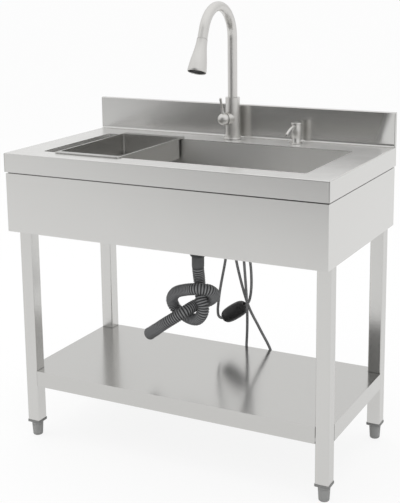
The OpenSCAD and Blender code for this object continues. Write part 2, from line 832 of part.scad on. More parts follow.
// Slotted basket that stands in the waste and lifts out
module waste_basket() {
    top_r = basket_d / 2;
    low_r = top_r - basket_bevel;
    hub_r = 12;
    slot_w = 4;
    knob_h = 6;
    color(bright) translate([0, open_y, cup_z + cup_t]) difference() {
        union() {
            rotate_extrude() difference() {
                polygon([[0, 0], [low_r, 0], [top_r - 1, basket_bevel], [top_r, basket_h], [0, basket_h]]);
                polygon([[0, basket_t], [low_r - basket_t / 2, basket_t],
                    [top_r - 1 - basket_t, basket_bevel + basket_t / 2], [top_r - basket_t, basket_h + cut],
                    [0, basket_h + cut]]);
            }
            cylinder(r = hub_r, h = 2 * basket_t);
            cylinder(r = hub_r / 3, h = basket_h - knob_h);
            translate([0, 0, basket_h - knob_h]) cylinder(r1 = hub_r / 2, r2 = hub_r - 2, h = knob_h);
        }
        for (i = [0:basket_slots - 1]) rotate([0, 0, 360 * i / basket_slots])
            translate([hub_r + 3, -slot_w / 2, -cut]) cube([low_r - hub_r - 6, slot_w, basket_t + 2 * cut]);
    }
}

// Nut that clamps the drain hose to the waste outlet
module drain_nut() {
    wall = 6;
    grip = 3;
    bevel = [4.5, 9];
    nut_r = outlet_d / 2 + wall;
    grip_z = bevel[1] + 1;
    color(dark_grey) translate([0, open_y, drain_z]) difference() {
        union() {
            rotate_extrude() polygon([[0, 0], [nut_r - bevel[0], 0], [nut_r, bevel[1]], [nut_r, drain_nut_h],
                [0, drain_nut_h]]);
            for (a = [0:30:330]) rotate([0, 0, a])
                translate([nut_r - 1, -grip / 2, grip_z]) cube([grip - 1, grip, drain_nut_h - grip_z - grip]);
        }
        translate([0, 0, outlet_z - drain_z - slip]) cylinder(d = outlet_d + 2 * slip, h = drain_nut_h);
        translate([0, 0, -cut]) cylinder(d = hose_bore, h = drain_nut_h);
    }
}

drain_steps = 260;
drain_line = spline_points([for (q = drain_route) [q[0], open_y + q[1], q[2]]], drain_steps);
drain_run = running(drain_line);
drain_len = drain_run[drain_steps];
rib_pitch = (drain_len - cuff_start - cuff_end) / drain_ribs;
// Straight start of the hose, which keeps its end face level
drain_straight = 12;
// Each rib is one low ring and one full ring: distance along the hose, radius
drain_rings = concat(
    [[0, cuff_d / 2], [drain_straight, cuff_d / 2], [cuff_start - rib_pitch / 2, cuff_d / 2]],
    [for (i = [0:drain_ribs - 1], h = [0, 1])
        [cuff_start + (i + h / 2) * rib_pitch, drain_d / 2 - (h == 0 ? rib_depth : 0)]],
    [[drain_len - cuff_end, cuff_d / 2], [drain_len, cuff_d / 2]]);
bore_rings = 70;

function running(p, i = 0, s = 0, out = []) =
    i == len(p) ? out
    : running(p, i + 1, s + (i + 1 < len(p) ? norm(p[i + 1] - p[i]) : 0), concat(out, [s]));
function at_run(s) =
    let (hits = [for (i = [0:len(drain_run) - 2]) if (drain_run[i] <= s && s <= drain_run[i + 1]) i],
        i = len(hits) == 0 ? len(drain_run) - 2 : hits[0],
        u = (s - drain_run[i]) / (drain_run[i + 1] - drain_run[i]))
    drain_line[i] + u * (drain_line[i + 1] - drain_line[i]);

// Ribbed drain hose with smooth cuffs and a bore, tied in one overhand knot
module drain_hose() {
    outer_p = [for (q = drain_rings) at_run(q[0])];
    inner_p = [for (i = [0:bore_rings]) at_run(drain_len * i / bore_rings)];
    n = len(outer_p);
    m = len(inner_p);
    outer = [for (i = [0:n - 1]) ring(outer_p, i, drain_rings[i][1], tube_sides)];
    inner = [for (i = [0:m - 1]) ring(inner_p, i, hose_bore / 2, tube_sides)];
    base = n * tube_sides;
    ends = [for (k = [0:tube_sides - 1])
        let (k2 = (k + 1) % tube_sides, a = (n - 1) * tube_sides, b = base + (m - 1) * tube_sides)
        each [[k, k2, base + k], [k2, base + k2, base + k],
            [a + k, b + k, a + k2], [a + k2, b + k, b + k2]]];
    faces = concat(side_faces(n, tube_sides, 0, false), side_faces(m, tube_sides, base, true), ends);
    color(dark_grey) polyhedron(concat(flat(outer), flat(inner)), faces, convexity = 20);
}

// Least gap between stretches of the hose that lie two diameters or more apart along it
drain_gap = min([for (i = [0:2:drain_steps], j = [i + 2:2:drain_steps])
    if (drain_run[j] - drain_run[i] > 2 * drain_d) norm(drain_line[i] - drain_line[j])]) - drain_d;
echo(drain_hose_length = drain_len, drain_hose_gap_to_itself = drain_gap, rib_pitch = rib_pitch);

module tap_flange() {
    color(bright) translate([0, tap_y, deck_h]) rotate_extrude() difference() {
        polygon([[0, 0], [base_d / 2, 0], [base_d / 2, base_h - 2], [base_d / 2 - 2, base_h], [0, base_h]]);
        translate([-cut, -cut]) square([wide_way / 2 + cut, base_h + 2 * cut]);
    }
}

module in_hub() {
    translate([0, tap_y, hub_z]) rotate([0, 0, hub_turn]) children();
}

// Body with a barrel at its side that seats the handle ball
module tap_body() {
    z0 = deck_h + base_h;
    socket_z = body_top - bush_l;
    color(bright) difference() {
        union() {
            translate([0, tap_y, z0]) cylinder(d = body_d, h = body_top - z0);
            in_hub() rotate([0, 90, 0]) cylinder(d = barrel_d, h = barrel_l);
        }
        translate([0, tap_y, z0 - cut]) cylinder(d = hose_way, h = body_h);
        translate([0, tap_y, z0 - cut]) cylinder(d = wide_way, h = hub_z - barrel_d / 2 - way_web - z0 + cut);
        translate([0, tap_y, socket_z]) cylinder(d = spout_d + 2 * bush_t, h = bush_l + cut);
        in_hub() translate([ball_out, 0, 0]) sphere(d = ball_d + 2 * seat_gap);
        in_hub() translate([yoke_x, 0, 0]) rotate([0, 90, 0])
            cylinder(d = yoke_d + 2 * turn, h = barrel_l - yoke_x - barrel_lip);
    }
}

// Turning disc behind the ball, with a tongue that takes the ball's cross pin
module valve_yoke() {
    tang_x = yoke_x + yoke_t / 2;
    color(white_plastic) in_hub() difference() {
        union() {
            translate([yoke_x, 0, 0]) rotate([0, 90, 0]) cylinder(d = yoke_d, h = yoke_t);
            translate([tang_x, -tang_w / 2, -eye_d / 2]) cube([ball_out - tang_x, tang_w, eye_d]);
            translate([ball_out, tang_w / 2, 0]) rotate([90, 0, 0]) cylinder(d = eye_d, h = tang_w);
        }
        translate([ball_out, tang_w / 2 + cut, 0]) rotate([90, 0, 0])
            cylinder(d = pin_d + 2 * turn, h = tang_w + 2 * cut);
    }
}

module in_lever() {
    in_hub() translate([ball_out, 0, 0]) rotate([0, lever_lean, 0]) children();
}

// Ball with a slot for the tongue and a pin across it, on which it tilts
module handle_ball() {
    slot_w = tang_w + 2 * slip;
    slot_out = eye_d / 2 + slip;
    pin_l = slot_w + 2 * pin_sink;
    color(bright) {
        difference() {
            in_hub() translate([ball_out, 0, 0]) sphere(d = ball_d);
            in_hub() translate([ball_out - ball_d / 2 - cut, -slot_w / 2, -slot_l / 2])
                cube([ball_d / 2 + cut + slot_out, slot_w, slot_l]);
            in_lever() translate([0, 0, ball_d / 2 - lever_root])
                cylinder(d = lever_foot_d + 2 * turn, h = lever_root + cut);
        }
        in_hub() translate([ball_out, pin_l / 2, 0]) rotate([90, 0, 0]) cylinder(d = pin_d, h = pin_l);
    }
}

// Lever that stands in the ball
module lever() {
    foot_z = ball_d / 2 - lever_root;
    cap_z = lever_l - lever_d / 2;
    color(bright) in_lever() rotate_extrude() {
        polygon([[0, foot_z], [lever_foot_d / 2, foot_z], [lever_foot_d / 2, ball_d / 2 + 1],
            [lever_waist / 2, lever_ring_z], [lever_waist / 2, lever_ring_z + lever_ring_h],
            [lever_d / 2, cap_z], [0, cap_z]]);
        intersection() {
            translate([0, cap_z]) circle(lever_d / 2);
            translate([0, cap_z]) square(lever_d);
        }
    }
}

// Collar at the waist of the lever
module lever_ring() {
    color(bright) in_lever() translate([0, 0, lever_ring_z]) difference() {
        cylinder(d = lever_waist + 3, h = lever_ring_h);
        translate([0, 0, -cut]) cylinder(d = lever_waist, h = lever_ring_h + 2 * cut);
    }
}

// Threaded shank below the worktop
module tap_shank() {
    color(bright) translate([0, tap_y, shank_z]) difference() {
        cylinder(d = shank_d, h = shank_l);
        translate([0, 0, -cut]) cylinder(d = shank_bore, h = shank_l + 2 * cut);
    }
}

module shank_washer() {
    color(black) translate([0, tap_y, under_z - washer_h]) difference() {
        cylinder(d = base_d + 2, h = washer_h);
        translate([0, 0, -cut]) cylinder(d = shank_d + 2 * slip, h = washer_h + 2 * cut);
    }
}

module shank_nut() {
    color(bright) translate([0, tap_y, under_z - washer_h - nut_h]) hex_nut(nut_af, nut_h, shank_d + 2 * slip);
}

// Plug at the foot of the shank that holds the hoses apart
module hose_plate() {
    color(dark_grey) translate([0, tap_y, plate_z]) difference() {
        cylinder(d = shank_bore - 2 * turn, h = plate_h);
        translate([0, 0, plate_h / 2]) cylinder(d = hose_d + 2 * slip, h = plate_h);
    }
}

module head_frame() {
    translate([0, end_y, end_z]) rotate([-head_lean, 0, 0]) children();
}

// Gooseneck tube: a riser, a bend and a straight end, joined at two thin seams
module spout() {
    foot_z = body_top - bush_l + run;
    color(bright) {
        translate([0, tap_y, foot_z]) seamed_tube(neck_z - foot_z);
        spout_bend() tube_section(spout_d, spout_bore);
        head_frame() seamed_tube(spout_end);
    }
}

// Tube with a seam at its top
module seamed_tube(length) {
    linear_extrude(length - seam_h) tube_section(spout_d, spout_bore);
    translate([0, 0, length - seam_h]) linear_extrude(seam_h)
        tube_section(spout_d + seam_out, spout_bore - seam_out);
}

module tube_section(d, hole) {
    difference() {
        circle(d = d);
        circle(d = hole);
    }
}

// Sweeps a section round the bend of the gooseneck
module spout_bend() {
    translate([0, tap_y - spout_r, neck_z]) rotate([90, 0, -90]) rotate([0, 0, head_lean])
        rotate_extrude(angle = spout_turn) translate([spout_r, 0]) children();
}

module spout_bush() {
    color(white_plastic) translate([0, tap_y, body_top - bush_l]) difference() {
        cylinder(d = spout_d + 2 * bush_t - 2 * turn, h = bush_l);
        translate([0, 0, -cut]) cylinder(d = spout_d + 2 * turn, h = bush_l + 2 * cut);
    }
}

// Plastic guide in the end of the spout
module dock_ring() {
    color(black) head_frame() difference() {
        cylinder(d = spout_bore - 2 * turn, h = dock_l);
        translate([0, 0, -cut]) cylinder(d = plug_d + 2 * run, h = dock_depth + cut + run);
        translate([0, 0, -cut]) cylinder(d = hose_d + 2, h = dock_l + 2 * cut);
    }
}

// Hose inside the tap, up to the spout's end
module spray_hose_upper() {
    low = plate_z + plate_h / 2;
    color(dark_grey) {
        translate([0, tap_y, low]) cylinder(d = hose_d, h = neck_z - low - seam_h);
        translate([0, tap_y, neck_z - seam_h]) cylinder(d = hose_d + seam_out, h = seam_h);
        spout_bend() circle(d = hose_d);
        head_frame() translate([0, 0, dock_depth + tail_l])
            cylinder(d = hose_d + seam_out, h = spout_end - dock_depth - tail_l);
    }
}

// Short stretch of hose that draws out with the spray head
module spray_hose_tail() {
    color(dark_grey) head_frame() translate([0, 0, dock_depth]) cylinder(d = hose_d, h = tail_l);
}

// Bell-shaped spray head with a plug that sits in the spout
module spray_head() {
    low = -head_l;
    color(bright) head_frame() difference() {
        union() {
            rotate_extrude() polygon([[0, -run], [head_top_d / 2 - 0.6, -run], [head_top_d / 2, -run - 0.6],
                [head_top_d / 2 + 0.4, -14], [head_top_d / 2 + 2.2, -30], [head_top_d / 2 + 5.2, -48],
                [head_top_d / 2 + 8.6, -66], [head_d / 2 - 0.9, low + 14], [head_d / 2, low + 5],
                [head_d / 2 - 0.3, low + 1], [head_d / 2 - 1.4, low], [0, low]]);
            cylinder(d = plug_d, h = dock_depth);
            translate([0, 0, -2]) cylinder(d = plug_d, h = 3);
        }
        rotate_extrude() polygon([[0, -8], [head_top_d / 2 - head_t, -8], [head_top_d / 2 + 0.4 - head_t, -14],
            [head_top_d / 2 + 2.2 - head_t, -30], [head_top_d / 2 + 5.2 - head_t, -48],
            [head_top_d / 2 + 8.6 - head_t, -66], [head_d / 2 - 0.9 - head_t, low + 14],
            [head_d / 2 - head_t, low + 5], [head_d / 2 - head_t, low - cut], [0, low - cut]]);
        translate([0, 0, -10]) cylinder(d = hose_d - 2, h = dock_depth + 12);
    }
}

// Dark nozzle plate in the mouth of the spray head
module spray_face() {
    face_t = 3;
    recess = 1.5;
    color(black) head_frame() translate([0, 0, -head_l + 2]) difference() {
        cylinder(d = head_d - 2 * head_t - 2 * turn, h = face_t);
        translate([0, 0, -cut]) cylinder(d = plug_d, h = recess + cut);
        for (i = [0:11]) rotate([0, 0, 30 * i]) translate([head_d / 3, 0, -cut]) cylinder(d = 3, h = recess + cut);
    }
}

module supply_hose_hot() {
    color(dark_grey) swept_tube(spline_points(from_tap(hot_route), supply_steps), hose_d, tube_sides);
}

module supply_hose_cold() {
    color(dark_grey) swept_tube(spline_points(from_tap(cold_route), supply_steps), hose_d, tube_sides);
}

// Union nuts at the free ends of the supply hoses
module supply_nuts() {
    color(bright) for (q = [hot_route[len(hot_route) - 1], cold_route[len(cold_route) - 1]])
        translate([q[0], tap_y + q[1], q[2] - supply_nut_h]) difference() {
            cylinder(d = supply_nut_d / cos(30), h = supply_nut_h, $fn = 6);
            translate([0, 0, -cut]) cylinder(d = supply_bore, h = supply_nut_h - supply_web + cut);
        }
}

// Quick coupler between the hose loop and the tap's outlet
module hose_coupler() {
    color(black) translate([coupler_at[0], tap_y + coupler_at[1], coupler_at[2]]) {
        cylinder(d = coupler_d, h = coupler_l);
        translate([0, 0, coupler_l / 3]) cylinder(d = coupler_d + 4, h = coupler_l / 3);
    }
}

// Hose loop that runs through its weight and up to the coupler
module spray_hose_loop() {
    color(dark_grey) {
        swept_tube(spline_points(from_tap(loop_route), loop_steps), hose_d, tube_sides);
        swept_tube(spline_points(from_tap(loop_top), 4), hose_d, tube_sides);
    }
}

// Weight of two shells round the hose loop
module hose_weight() {
    // Half profile as shares of half the length and of the radius
    profile = [[0.52, 1], [0.76, 0.88], [0.92, 0.64], [1, 0.28]];
    half = [for (q = profile) [q[0] * weight_d / 2, q[1] * weight_l / 2]];
    color(black) translate([weight_mid[0], tap_y + weight_mid[1], weight_mid[2]])
        rotate([0, 90 - weight_tilt, 0]) difference() {
            rotate_extrude() polygon(concat([[0, weight_l / 2]], half,
                [for (i = [3:-1:0]) [half[i][0], -half[i][1]]], [[0, -weight_l / 2]]));
            translate([0, 0, -weight_l / 2 - cut]) cylinder(d = hose_d + 2 * weight_gap, h = weight_l + 2 * cut);
            for (a = [0, 180]) rotate([0, 0, a])
                translate([-weight_d / 2 - cut, -weight_slit / 2, -weight_l / 2 - cut])
                    cube([weight_d / 4, weight_slit, weight_l + 2 * cut]);
        }
}

// Flange, collar and threaded shank of the soap pump
module soap_collar() {
    flange_h = 2.5;
    color(bright) translate([soap_x, soap_y, deck_h]) difference() {
        union() {
            rotate_extrude() polygon([[0, 0], [soap_flange / 2, 0], [soap_flange / 2, flange_h - 1],
                [soap_flange / 2 - 1, flange_h], [0, flange_h]]);
            cylinder(d = collar_d, h = collar_h);
            translate([0, 0, -soap_shank_l]) cylinder(d = soap_shank_d, h = soap_shank_l + cut);
        }
        translate([0, 0, -soap_shank_l - cut])
            cylinder(d = barrel_od + 2 * slip, h = soap_shank_l + collar_h + 2 * cut);
    }
}

// Nut with two wings under the worktop
module soap_nut() {
    h = 8;
    nut_d = 44;
    wing = [7, 6, 12];
    color(black) translate([soap_x, soap_y, under_z - h]) difference() {
        union() {
            cylinder(d = nut_d, h = h);
            for (a = [0, 180]) rotate([0, 0, a])
                translate([nut_d / 2 - 2, -wing[1] / 2, h - wing[2]]) cube(wing);
        }
        translate([0, 0, -wing[2]]) cylinder(d = soap_shank_d + 2 * slip, h = 3 * wing[2]);
    }
}

// Bottle screwed on the soap pump's shank
module soap_bottle() {
    wall = 2;
    neck_r = soap_shank_d / 2 + slip;
    neck_low = bottle_l - bottle_neck - 6;
    shoulder = neck_low - 14;
    color(white_plastic) translate([soap_x, soap_y, bottle_z]) rotate_extrude() difference() {
        polygon([[0, 0], [bottle_d / 2 - 3, 0], [bottle_d / 2, 3], [bottle_d / 2, shoulder],
            [neck_r + 2 * wall, neck_low], [neck_r + 2 * wall, bottle_l], [0, bottle_l]]);
        polygon([[0, wall], [bottle_d / 2 - 3 - wall / 2, wall], [bottle_d / 2 - wall, 3 + wall / 2],
            [bottle_d / 2 - wall, shoulder - wall / 2], [neck_r, neck_low - wall / 2],
            [neck_r, bottle_l + cut], [0, bottle_l + cut]]);
    }
}

// Pump barrel, held by its rim on top of the collar
module pump_barrel() {
    color(white_plastic) translate([soap_x, soap_y, barrel_z]) difference() {
        union() {
            cylinder(d = barrel_od, h = barrel_h + 1);
            translate([0, 0, barrel_h]) cylinder(d = barrel_rim_d, h = barrel_rim_h);
        }
        translate([0, 0, barrel_floor]) cylinder(d = barrel_id, h = barrel_h + barrel_rim_h);
        translate([0, 0, -cut]) cylinder(d = dip_d + 2 * slip, h = barrel_floor + 2 * cut);
    }
}

// Return spring under the piston
module pump_spring() {
    color(bright) translate([soap_x, soap_y, barrel_z + barrel_floor]) difference() {
        cylinder(d = barrel_id - 1, h = spring_h);
        translate([0, 0, -cut]) cylinder(d = barrel_id - 4, h = spring_h + 2 * cut);
    }
}

// Piston and its rod
module pump_stem() {
    piston_z = barrel_z + barrel_floor + spring_h;
    color(white_plastic) translate([soap_x, soap_y, piston_z]) {
        cylinder(d = barrel_id - 2 * turn, h = stem_d);
        cylinder(d = stem_d, h = cap_top - cap_t - piston_z);
    }
}

// Cap, skirt and spout of the soap pump
module pump_head() {
    edge = 1.5;
    skirt_low = collar_top - skirt_lap;
    boss = 10;
    color(bright) translate([soap_x, soap_y, 0]) difference() {
        union() {
            difference() {
                union() {
                    rotate_extrude() polygon([[0, cap_top - cap_t], [cap_d / 2, cap_top - cap_t],
                        [cap_d / 2, cap_top - edge], [cap_d / 2 - edge, cap_top], [0, cap_top]]);
                    translate([0, 0, skirt_low]) cylinder(d = skirt_d, h = cap_top - cap_t - skirt_low + 1);
                    soap_spout();
                }
                translate([0, 0, skirt_low - cut])
                    cylinder(d = collar_d + 2 * run, h = cap_top - cap_t - skirt_low - skirt_web + cut);
            }
            translate([0, 0, cap_top - cap_t - boss]) cylinder(d = stem_d + 4, h = boss);
        }
        translate([0, 0, cap_top - cap_t - boss - cut]) cylinder(d = stem_d + 2 * turn, h = boss + cut);
    }
}

// Spout of the soap pump, an arc that starts level
module soap_spout() {
    start = collar_d / 2 + run;
    bend = 2 * atan(soap_drop / (soap_reach - start));
    r = (soap_reach - start) / sin(bend);
    translate([0, -start, cap_top - cap_t - soap_tube / 2 - r]) rotate([90, 0, -90])
        rotate([0, 0, 90 - bend]) rotate_extrude(angle = bend) translate([r, 0]) circle(d = soap_tube);
}

module dip_tube() {
    low = bottle_z + 2 * dip_d;
    color(white_plastic) translate([soap_x, soap_y, low]) cylinder(d = dip_d, h = barrel_z + barrel_floor - 1 - low);
}

// Tray with turned-down flanges that lie on the worktop, so that it slides along the bowl
module drain_tray() {
    box_w = tray_w - 2 * tray_hem;
    flange_l = open_d + 2 * tray_flange;
    rim_z = deck_h + tray_rim;
    low_z = deck_h - tray_h;
    border = 20;
    nx = floor((box_w - 2 * border) / tray_pitch);
    ny = floor((tray_l - 2 * border) / tray_pitch);
    box_y = (tray_front_gap - tray_back_gap) / 2;
    color(steel) translate([tray_x0 + tray_w / 2, open_y, 0]) difference() {
        union() {
            translate([0, box_y, low_z]) linear_extrude(rim_z - low_z) round_rect(box_w, tray_l, tray_corner);
            translate([0, 0, rim_z - sheet_t]) linear_extrude(sheet_t) round_rect(tray_w, flange_l, tray_r);
            translate([0, 0, deck_h + tray_clear]) linear_extrude(tray_rim - tray_clear) difference() {
                round_rect(tray_w, flange_l, tray_r);
                round_rect(tray_w - 2 * sheet_t, flange_l - 2 * sheet_t, tray_r - sheet_t);
            }
        }
        translate([0, box_y, low_z + sheet_t]) linear_extrude(rim_z)
            round_rect(box_w - 2 * sheet_t, tray_l - 2 * sheet_t, tray_corner - sheet_t);
        for (i = [0:nx], j = [0:ny])
            translate([(i - nx / 2) * tray_pitch, box_y + (j - ny / 2) * tray_pitch, low_z - cut])
                cylinder(d = tray_hole, h = sheet_t + 2 * cut);
    }
}

sink_top();
upstand_caps();
bowl();
apron();
rear_rail();
top_rails();
leg_sockets();
leg(0);  // leg_front_left
leg(1);  // leg_front_right
leg(2);  // leg_rear_left
leg(3);  // leg_rear_right
leg_bolts();
shelf();
shelf_ribs();
shelf_tabs();
shelf_screws();
foot_plugs();
foot(0);  // foot_front_left
foot(1);  // foot_front_right
foot(2);  // foot_rear_left
foot(3);  // foot_rear_right
waste_body();
waste_gasket();
waste_nut();
waste_basket();
drain_nut();
drain_hose();
tap_flange();
tap_body();
tap_shank();
shank_washer();
shank_nut();
hose_plate();
valve_yoke();
handle_ball();
lever();
lever_ring();
spout();
spout_bush();
dock_ring();
spray_hose_upper();
spray_hose_tail();
spray_head();
spray_face();
supply_hose_hot();
supply_hose_cold();
supply_nuts();
hose_coupler();
spray_hose_loop();
hose_weight();
soap_collar();
soap_nut();
soap_bottle();
pump_barrel();
pump_spring();
pump_stem();
pump_head();
dip_tube();
drain_tray();
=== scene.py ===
# Freestanding stainless steel sink unit: camera, light, finishes and the detailed pieces
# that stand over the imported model. Metres, Z up, origin on the floor under the worktop.
import bisect
import math

import bmesh
import bpy
from mathutils import Matrix, Vector


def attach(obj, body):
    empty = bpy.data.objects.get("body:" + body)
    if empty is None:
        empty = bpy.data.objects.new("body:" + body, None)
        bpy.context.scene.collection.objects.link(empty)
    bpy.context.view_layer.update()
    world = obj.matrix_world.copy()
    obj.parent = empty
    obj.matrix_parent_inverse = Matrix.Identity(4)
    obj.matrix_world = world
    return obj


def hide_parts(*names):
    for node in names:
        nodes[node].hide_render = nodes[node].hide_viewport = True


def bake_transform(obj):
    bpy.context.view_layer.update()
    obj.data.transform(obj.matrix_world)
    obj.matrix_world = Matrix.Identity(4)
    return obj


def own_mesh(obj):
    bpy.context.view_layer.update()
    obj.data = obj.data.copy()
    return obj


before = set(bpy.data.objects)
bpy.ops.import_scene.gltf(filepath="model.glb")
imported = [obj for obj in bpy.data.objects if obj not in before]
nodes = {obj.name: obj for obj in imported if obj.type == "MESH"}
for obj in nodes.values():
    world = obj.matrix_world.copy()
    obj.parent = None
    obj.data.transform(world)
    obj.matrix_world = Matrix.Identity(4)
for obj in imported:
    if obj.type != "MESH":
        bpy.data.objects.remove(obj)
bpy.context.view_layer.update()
scene = bpy.context.scene
print("frame loaded:", len(nodes), "nodes")


# camera, at the place where the photograph was taken
cameraSetup = {
    "place": (1.39261, -2.66834, 1.41448),
    "turn": (78.6927, 0.6821, 27.4711),
    "lens": 75.414,
    "sensor": 36,
    "shiftY": -0.150,
    "farthest": 200,
}


def addCamera(setup):
    bpy.ops.object.camera_add(location=setup["place"], rotation=[math.radians(a) for a in setup["turn"]])
    cam = bpy.context.object
    cam.name = "photoCamera"
    cam.data.lens = setup["lens"]
    cam.data.sensor_width = setup["sensor"]
    cam.data.shift_y = setup["shiftY"]
    cam.data.clip_end = setup["farthest"]
    scene.camera = cam


addCamera(cameraSetup)
print("camera placed")


# helpers for editing by hand
def deselectAll():
    if bpy.context.object and bpy.context.object.mode != "OBJECT":
        bpy.ops.object.mode_set(mode="OBJECT")
    bpy.ops.object.select_all(action="DESELECT")


def pickOnly(obj):
    deselectAll()
    obj.select_set(True)
    bpy.context.view_layer.objects.active = obj


def smoothBy(obj, degrees):
    pickOnly(obj)
    bpy.ops.object.shade_smooth_by_angle(angle=math.radians(degrees))


def applyModifiers(obj):
    pickOnly(obj)
    for mod in list(obj.modifiers):
        bpy.ops.object.modifier_apply(modifier=mod.name)


def bevelEdges(obj, width, segments):
    mod = obj.modifiers.new("edges", "BEVEL")
    mod.width = width
    mod.segments = segments
    mod.limit_method = "ANGLE"
    mod.angle_limit = math.radians(60)


def placeInMesh():
    # moves the active object's place and turn into its mesh
    bpy.ops.object.transform_apply(location=True, rotation=True, scale=True)


def deletePiece(obj):
    pickOnly(obj)
    bpy.ops.object.delete()


def startEdit(kind, action="SELECT"):
    bpy.ops.object.mode_set(mode="EDIT")
    bpy.ops.mesh.select_mode(type=kind)
    bpy.ops.mesh.select_all(action=action)


def endEdit():
    # turns the faces outwards on the way out
    bpy.ops.mesh.select_all(action="SELECT")
    bpy.ops.mesh.normals_make_consistent(inside=False)
    bpy.ops.object.mode_set(mode="OBJECT")


def pickParts(obj, kind, wanted):
    # stays in edit mode with only the wanted edges or faces selected
    startEdit(kind, "DESELECT")
    bpy.ops.object.mode_set(mode="OBJECT")
    for part in obj.data.edges if kind == "EDGE" else obj.data.polygons:
        part.select = wanted(part)
    bpy.ops.object.mode_set(mode="EDIT")


def wear(obj, material):
    obj.data.materials.clear()
    obj.data.materials.append(bpy.data.materials[material])


def finishPiece(obj, name, material, body, node):
    pickOnly(obj)
    placeInMesh()
    obj.name = name
    obj.data.name = name
    wear(obj, material)
    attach(obj, body)
    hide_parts(node)
    return obj


# shader groups and materials
class Wiring:
    # adds nodes to a tree and joins them by socket
    def __init__(self, tree):
        self.tree = tree

    def add(self, kind, links=(), **values):
        node = self.tree.nodes.new(kind)
        for key, value in values.items():
            setattr(node, key, value)
        for key, value in dict(links).items():
            if hasattr(value, "is_output"):
                self.tree.links.new(value, node.inputs[key])
            else:
                node.inputs[key].default_value = value
        return node

    def join(self, a, b):
        self.tree.links.new(a, b)

    def math(self, operation, a, b=0.0, c=0.0):
        return self.add("ShaderNodeMath", {0: a, 1: b, 2: c}, operation=operation).outputs[0]

    def product(self, first, *others):
        for other in others:
            first = self.math("MULTIPLY", first, other)
        return first

    def between(self, value, low, high):
        return self.product(self.math("GREATER_THAN", value, low), self.math("LESS_THAN", value, high))

    def mix(self, factor, a, b):
        return self.add("ShaderNodeMix", {0: factor, 2: a, 3: b}, data_type="FLOAT").outputs[0]

    def mixColour(self, factor, a, b):
        return self.add("ShaderNodeMix", {0: factor, 6: a, 7: b}, data_type="RGBA").outputs[2]

    def ramp(self, value, low, high, start=0.0, end=1.0, kind="LINEAR"):
        # goes from start to end as the value goes from low to high
        return self.add("ShaderNodeMapRange", {"Value": value, "From Min": low, "From Max": high,
                                               "To Min": start, "To Max": end},
                        interpolation_type=kind).outputs[0]

    def noise(self, place, scale, detail, roughness=0.5, dimensions="3D"):
        return self.add("ShaderNodeTexNoise", {"Vector": place, "Scale": scale, "Detail": detail,
                                               "Roughness": roughness},
                        noise_dimensions=dimensions).outputs[0]

    def split(self, vector):
        return self.add("ShaderNodeSeparateXYZ", {0: vector}).outputs

    def facing(self):
        # x, y and z of the direction that the surface looks in
        return self.split(self.add("ShaderNodeNewGeometry").outputs["Normal"])

    def group(self, tree, links):
        return self.add("ShaderNodeGroup", links, node_tree=tree).outputs

    def give(self, label, value):
        self.join(value, self.out.inputs[label])

    def bump(self, shader, height, strength, distance, normal=None):
        node = self.add("ShaderNodeBump", {"Height": height, "Strength": strength, "Distance": distance})
        if normal is not None:
            self.join(normal, node.inputs["Normal"])
        self.join(node.outputs[0], shader.inputs["Normal"])


def nodeGroup(name, inputs, outputs):
    # an input starts at its value, or is a vector where that is None; "Normal" comes out as a vector
    tree = bpy.data.node_groups.new(name, "ShaderNodeTree")
    for label, value in inputs.items():
        kind = "NodeSocketVector" if value is None else "NodeSocketFloat"
        sock = tree.interface.new_socket(name=label, in_out="INPUT", socket_type=kind)
        if value is not None:
            sock.default_value = value
    for label in outputs:
        kind = "NodeSocketVector" if label == "Normal" else "NodeSocketFloat"
        tree.interface.new_socket(name=label, in_out="OUTPUT", socket_type=kind)
    w = Wiring(tree)
    w.out = w.add("NodeGroupOutput")
    return w, w.add("NodeGroupInput").outputs


steep = 0.6  # a face looks sideways or up where that part of its direction is larger


def makeBrushedGrain():
    # fine lines along the sheet, and soft clouds where the light catches the roll marks
    w, given = nodeGroup("brushedGrain", {"Vector": None, "Fine": 900.0, "Long": 6.0, "Upright": 0.0,
                                          "Cloud Scale": 4.0}, ["Grain", "Cloud"])
    pos = w.split(given["Vector"])
    looks = w.facing()
    facesSide = w.math("GREATER_THAN", w.math("ABSOLUTE", looks[0]), steep)
    facesUp = w.math("GREATER_THAN", w.math("ABSOLUTE", looks[2]), steep)
    along = w.mix(given["Upright"], w.mix(facesSide, pos[0], pos[1]), pos[2])
    across = w.mix(given["Upright"], w.mix(facesUp, pos[2], pos[1]), w.math("ADD", pos[0], pos[1]))
    lines = w.add("ShaderNodeCombineXYZ", {0: w.math("MULTIPLY", along, given["Long"]),
                                           1: w.math("MULTIPLY", across, given["Fine"])})
    w.give("Grain", w.noise(lines.outputs[0], 1.0, 3.0, 0.6, "2D"))
    w.give("Cloud", w.noise(given["Vector"], given["Cloud Scale"], 2.0))
    return w.tree


def makeDust():
    # thin film of dust and water marks, thicker on faces that look up
    w, given = nodeGroup("dustFilm", {"Vector": None, "Scale": 30.0, "Amount": 0.3}, ["Mask"])
    up = w.math("MULTIPLY_ADD", w.math("MAXIMUM", w.facing()[2], 0.0), 0.7, 0.3)
    spots = w.ramp(w.noise(given["Vector"], given["Scale"], 5.0, 0.65), 0.5, 0.8)
    w.give("Mask", w.product(spots, up, given["Amount"]))
    return w.tree


def makeMouldSkin():
    # fine pitted skin of moulded plastic, in slightly lighter and darker patches
    w, given = nodeGroup("mouldSkin", {"Vector": None, "Scale": 900.0, "Patch Scale": 22.0},
                         ["Height", "Patch"])
    w.give("Height", w.noise(given["Vector"], given["Scale"], 2.0))
    w.give("Patch", w.noise(given["Vector"], given["Patch Scale"], 3.0))
    return w.tree


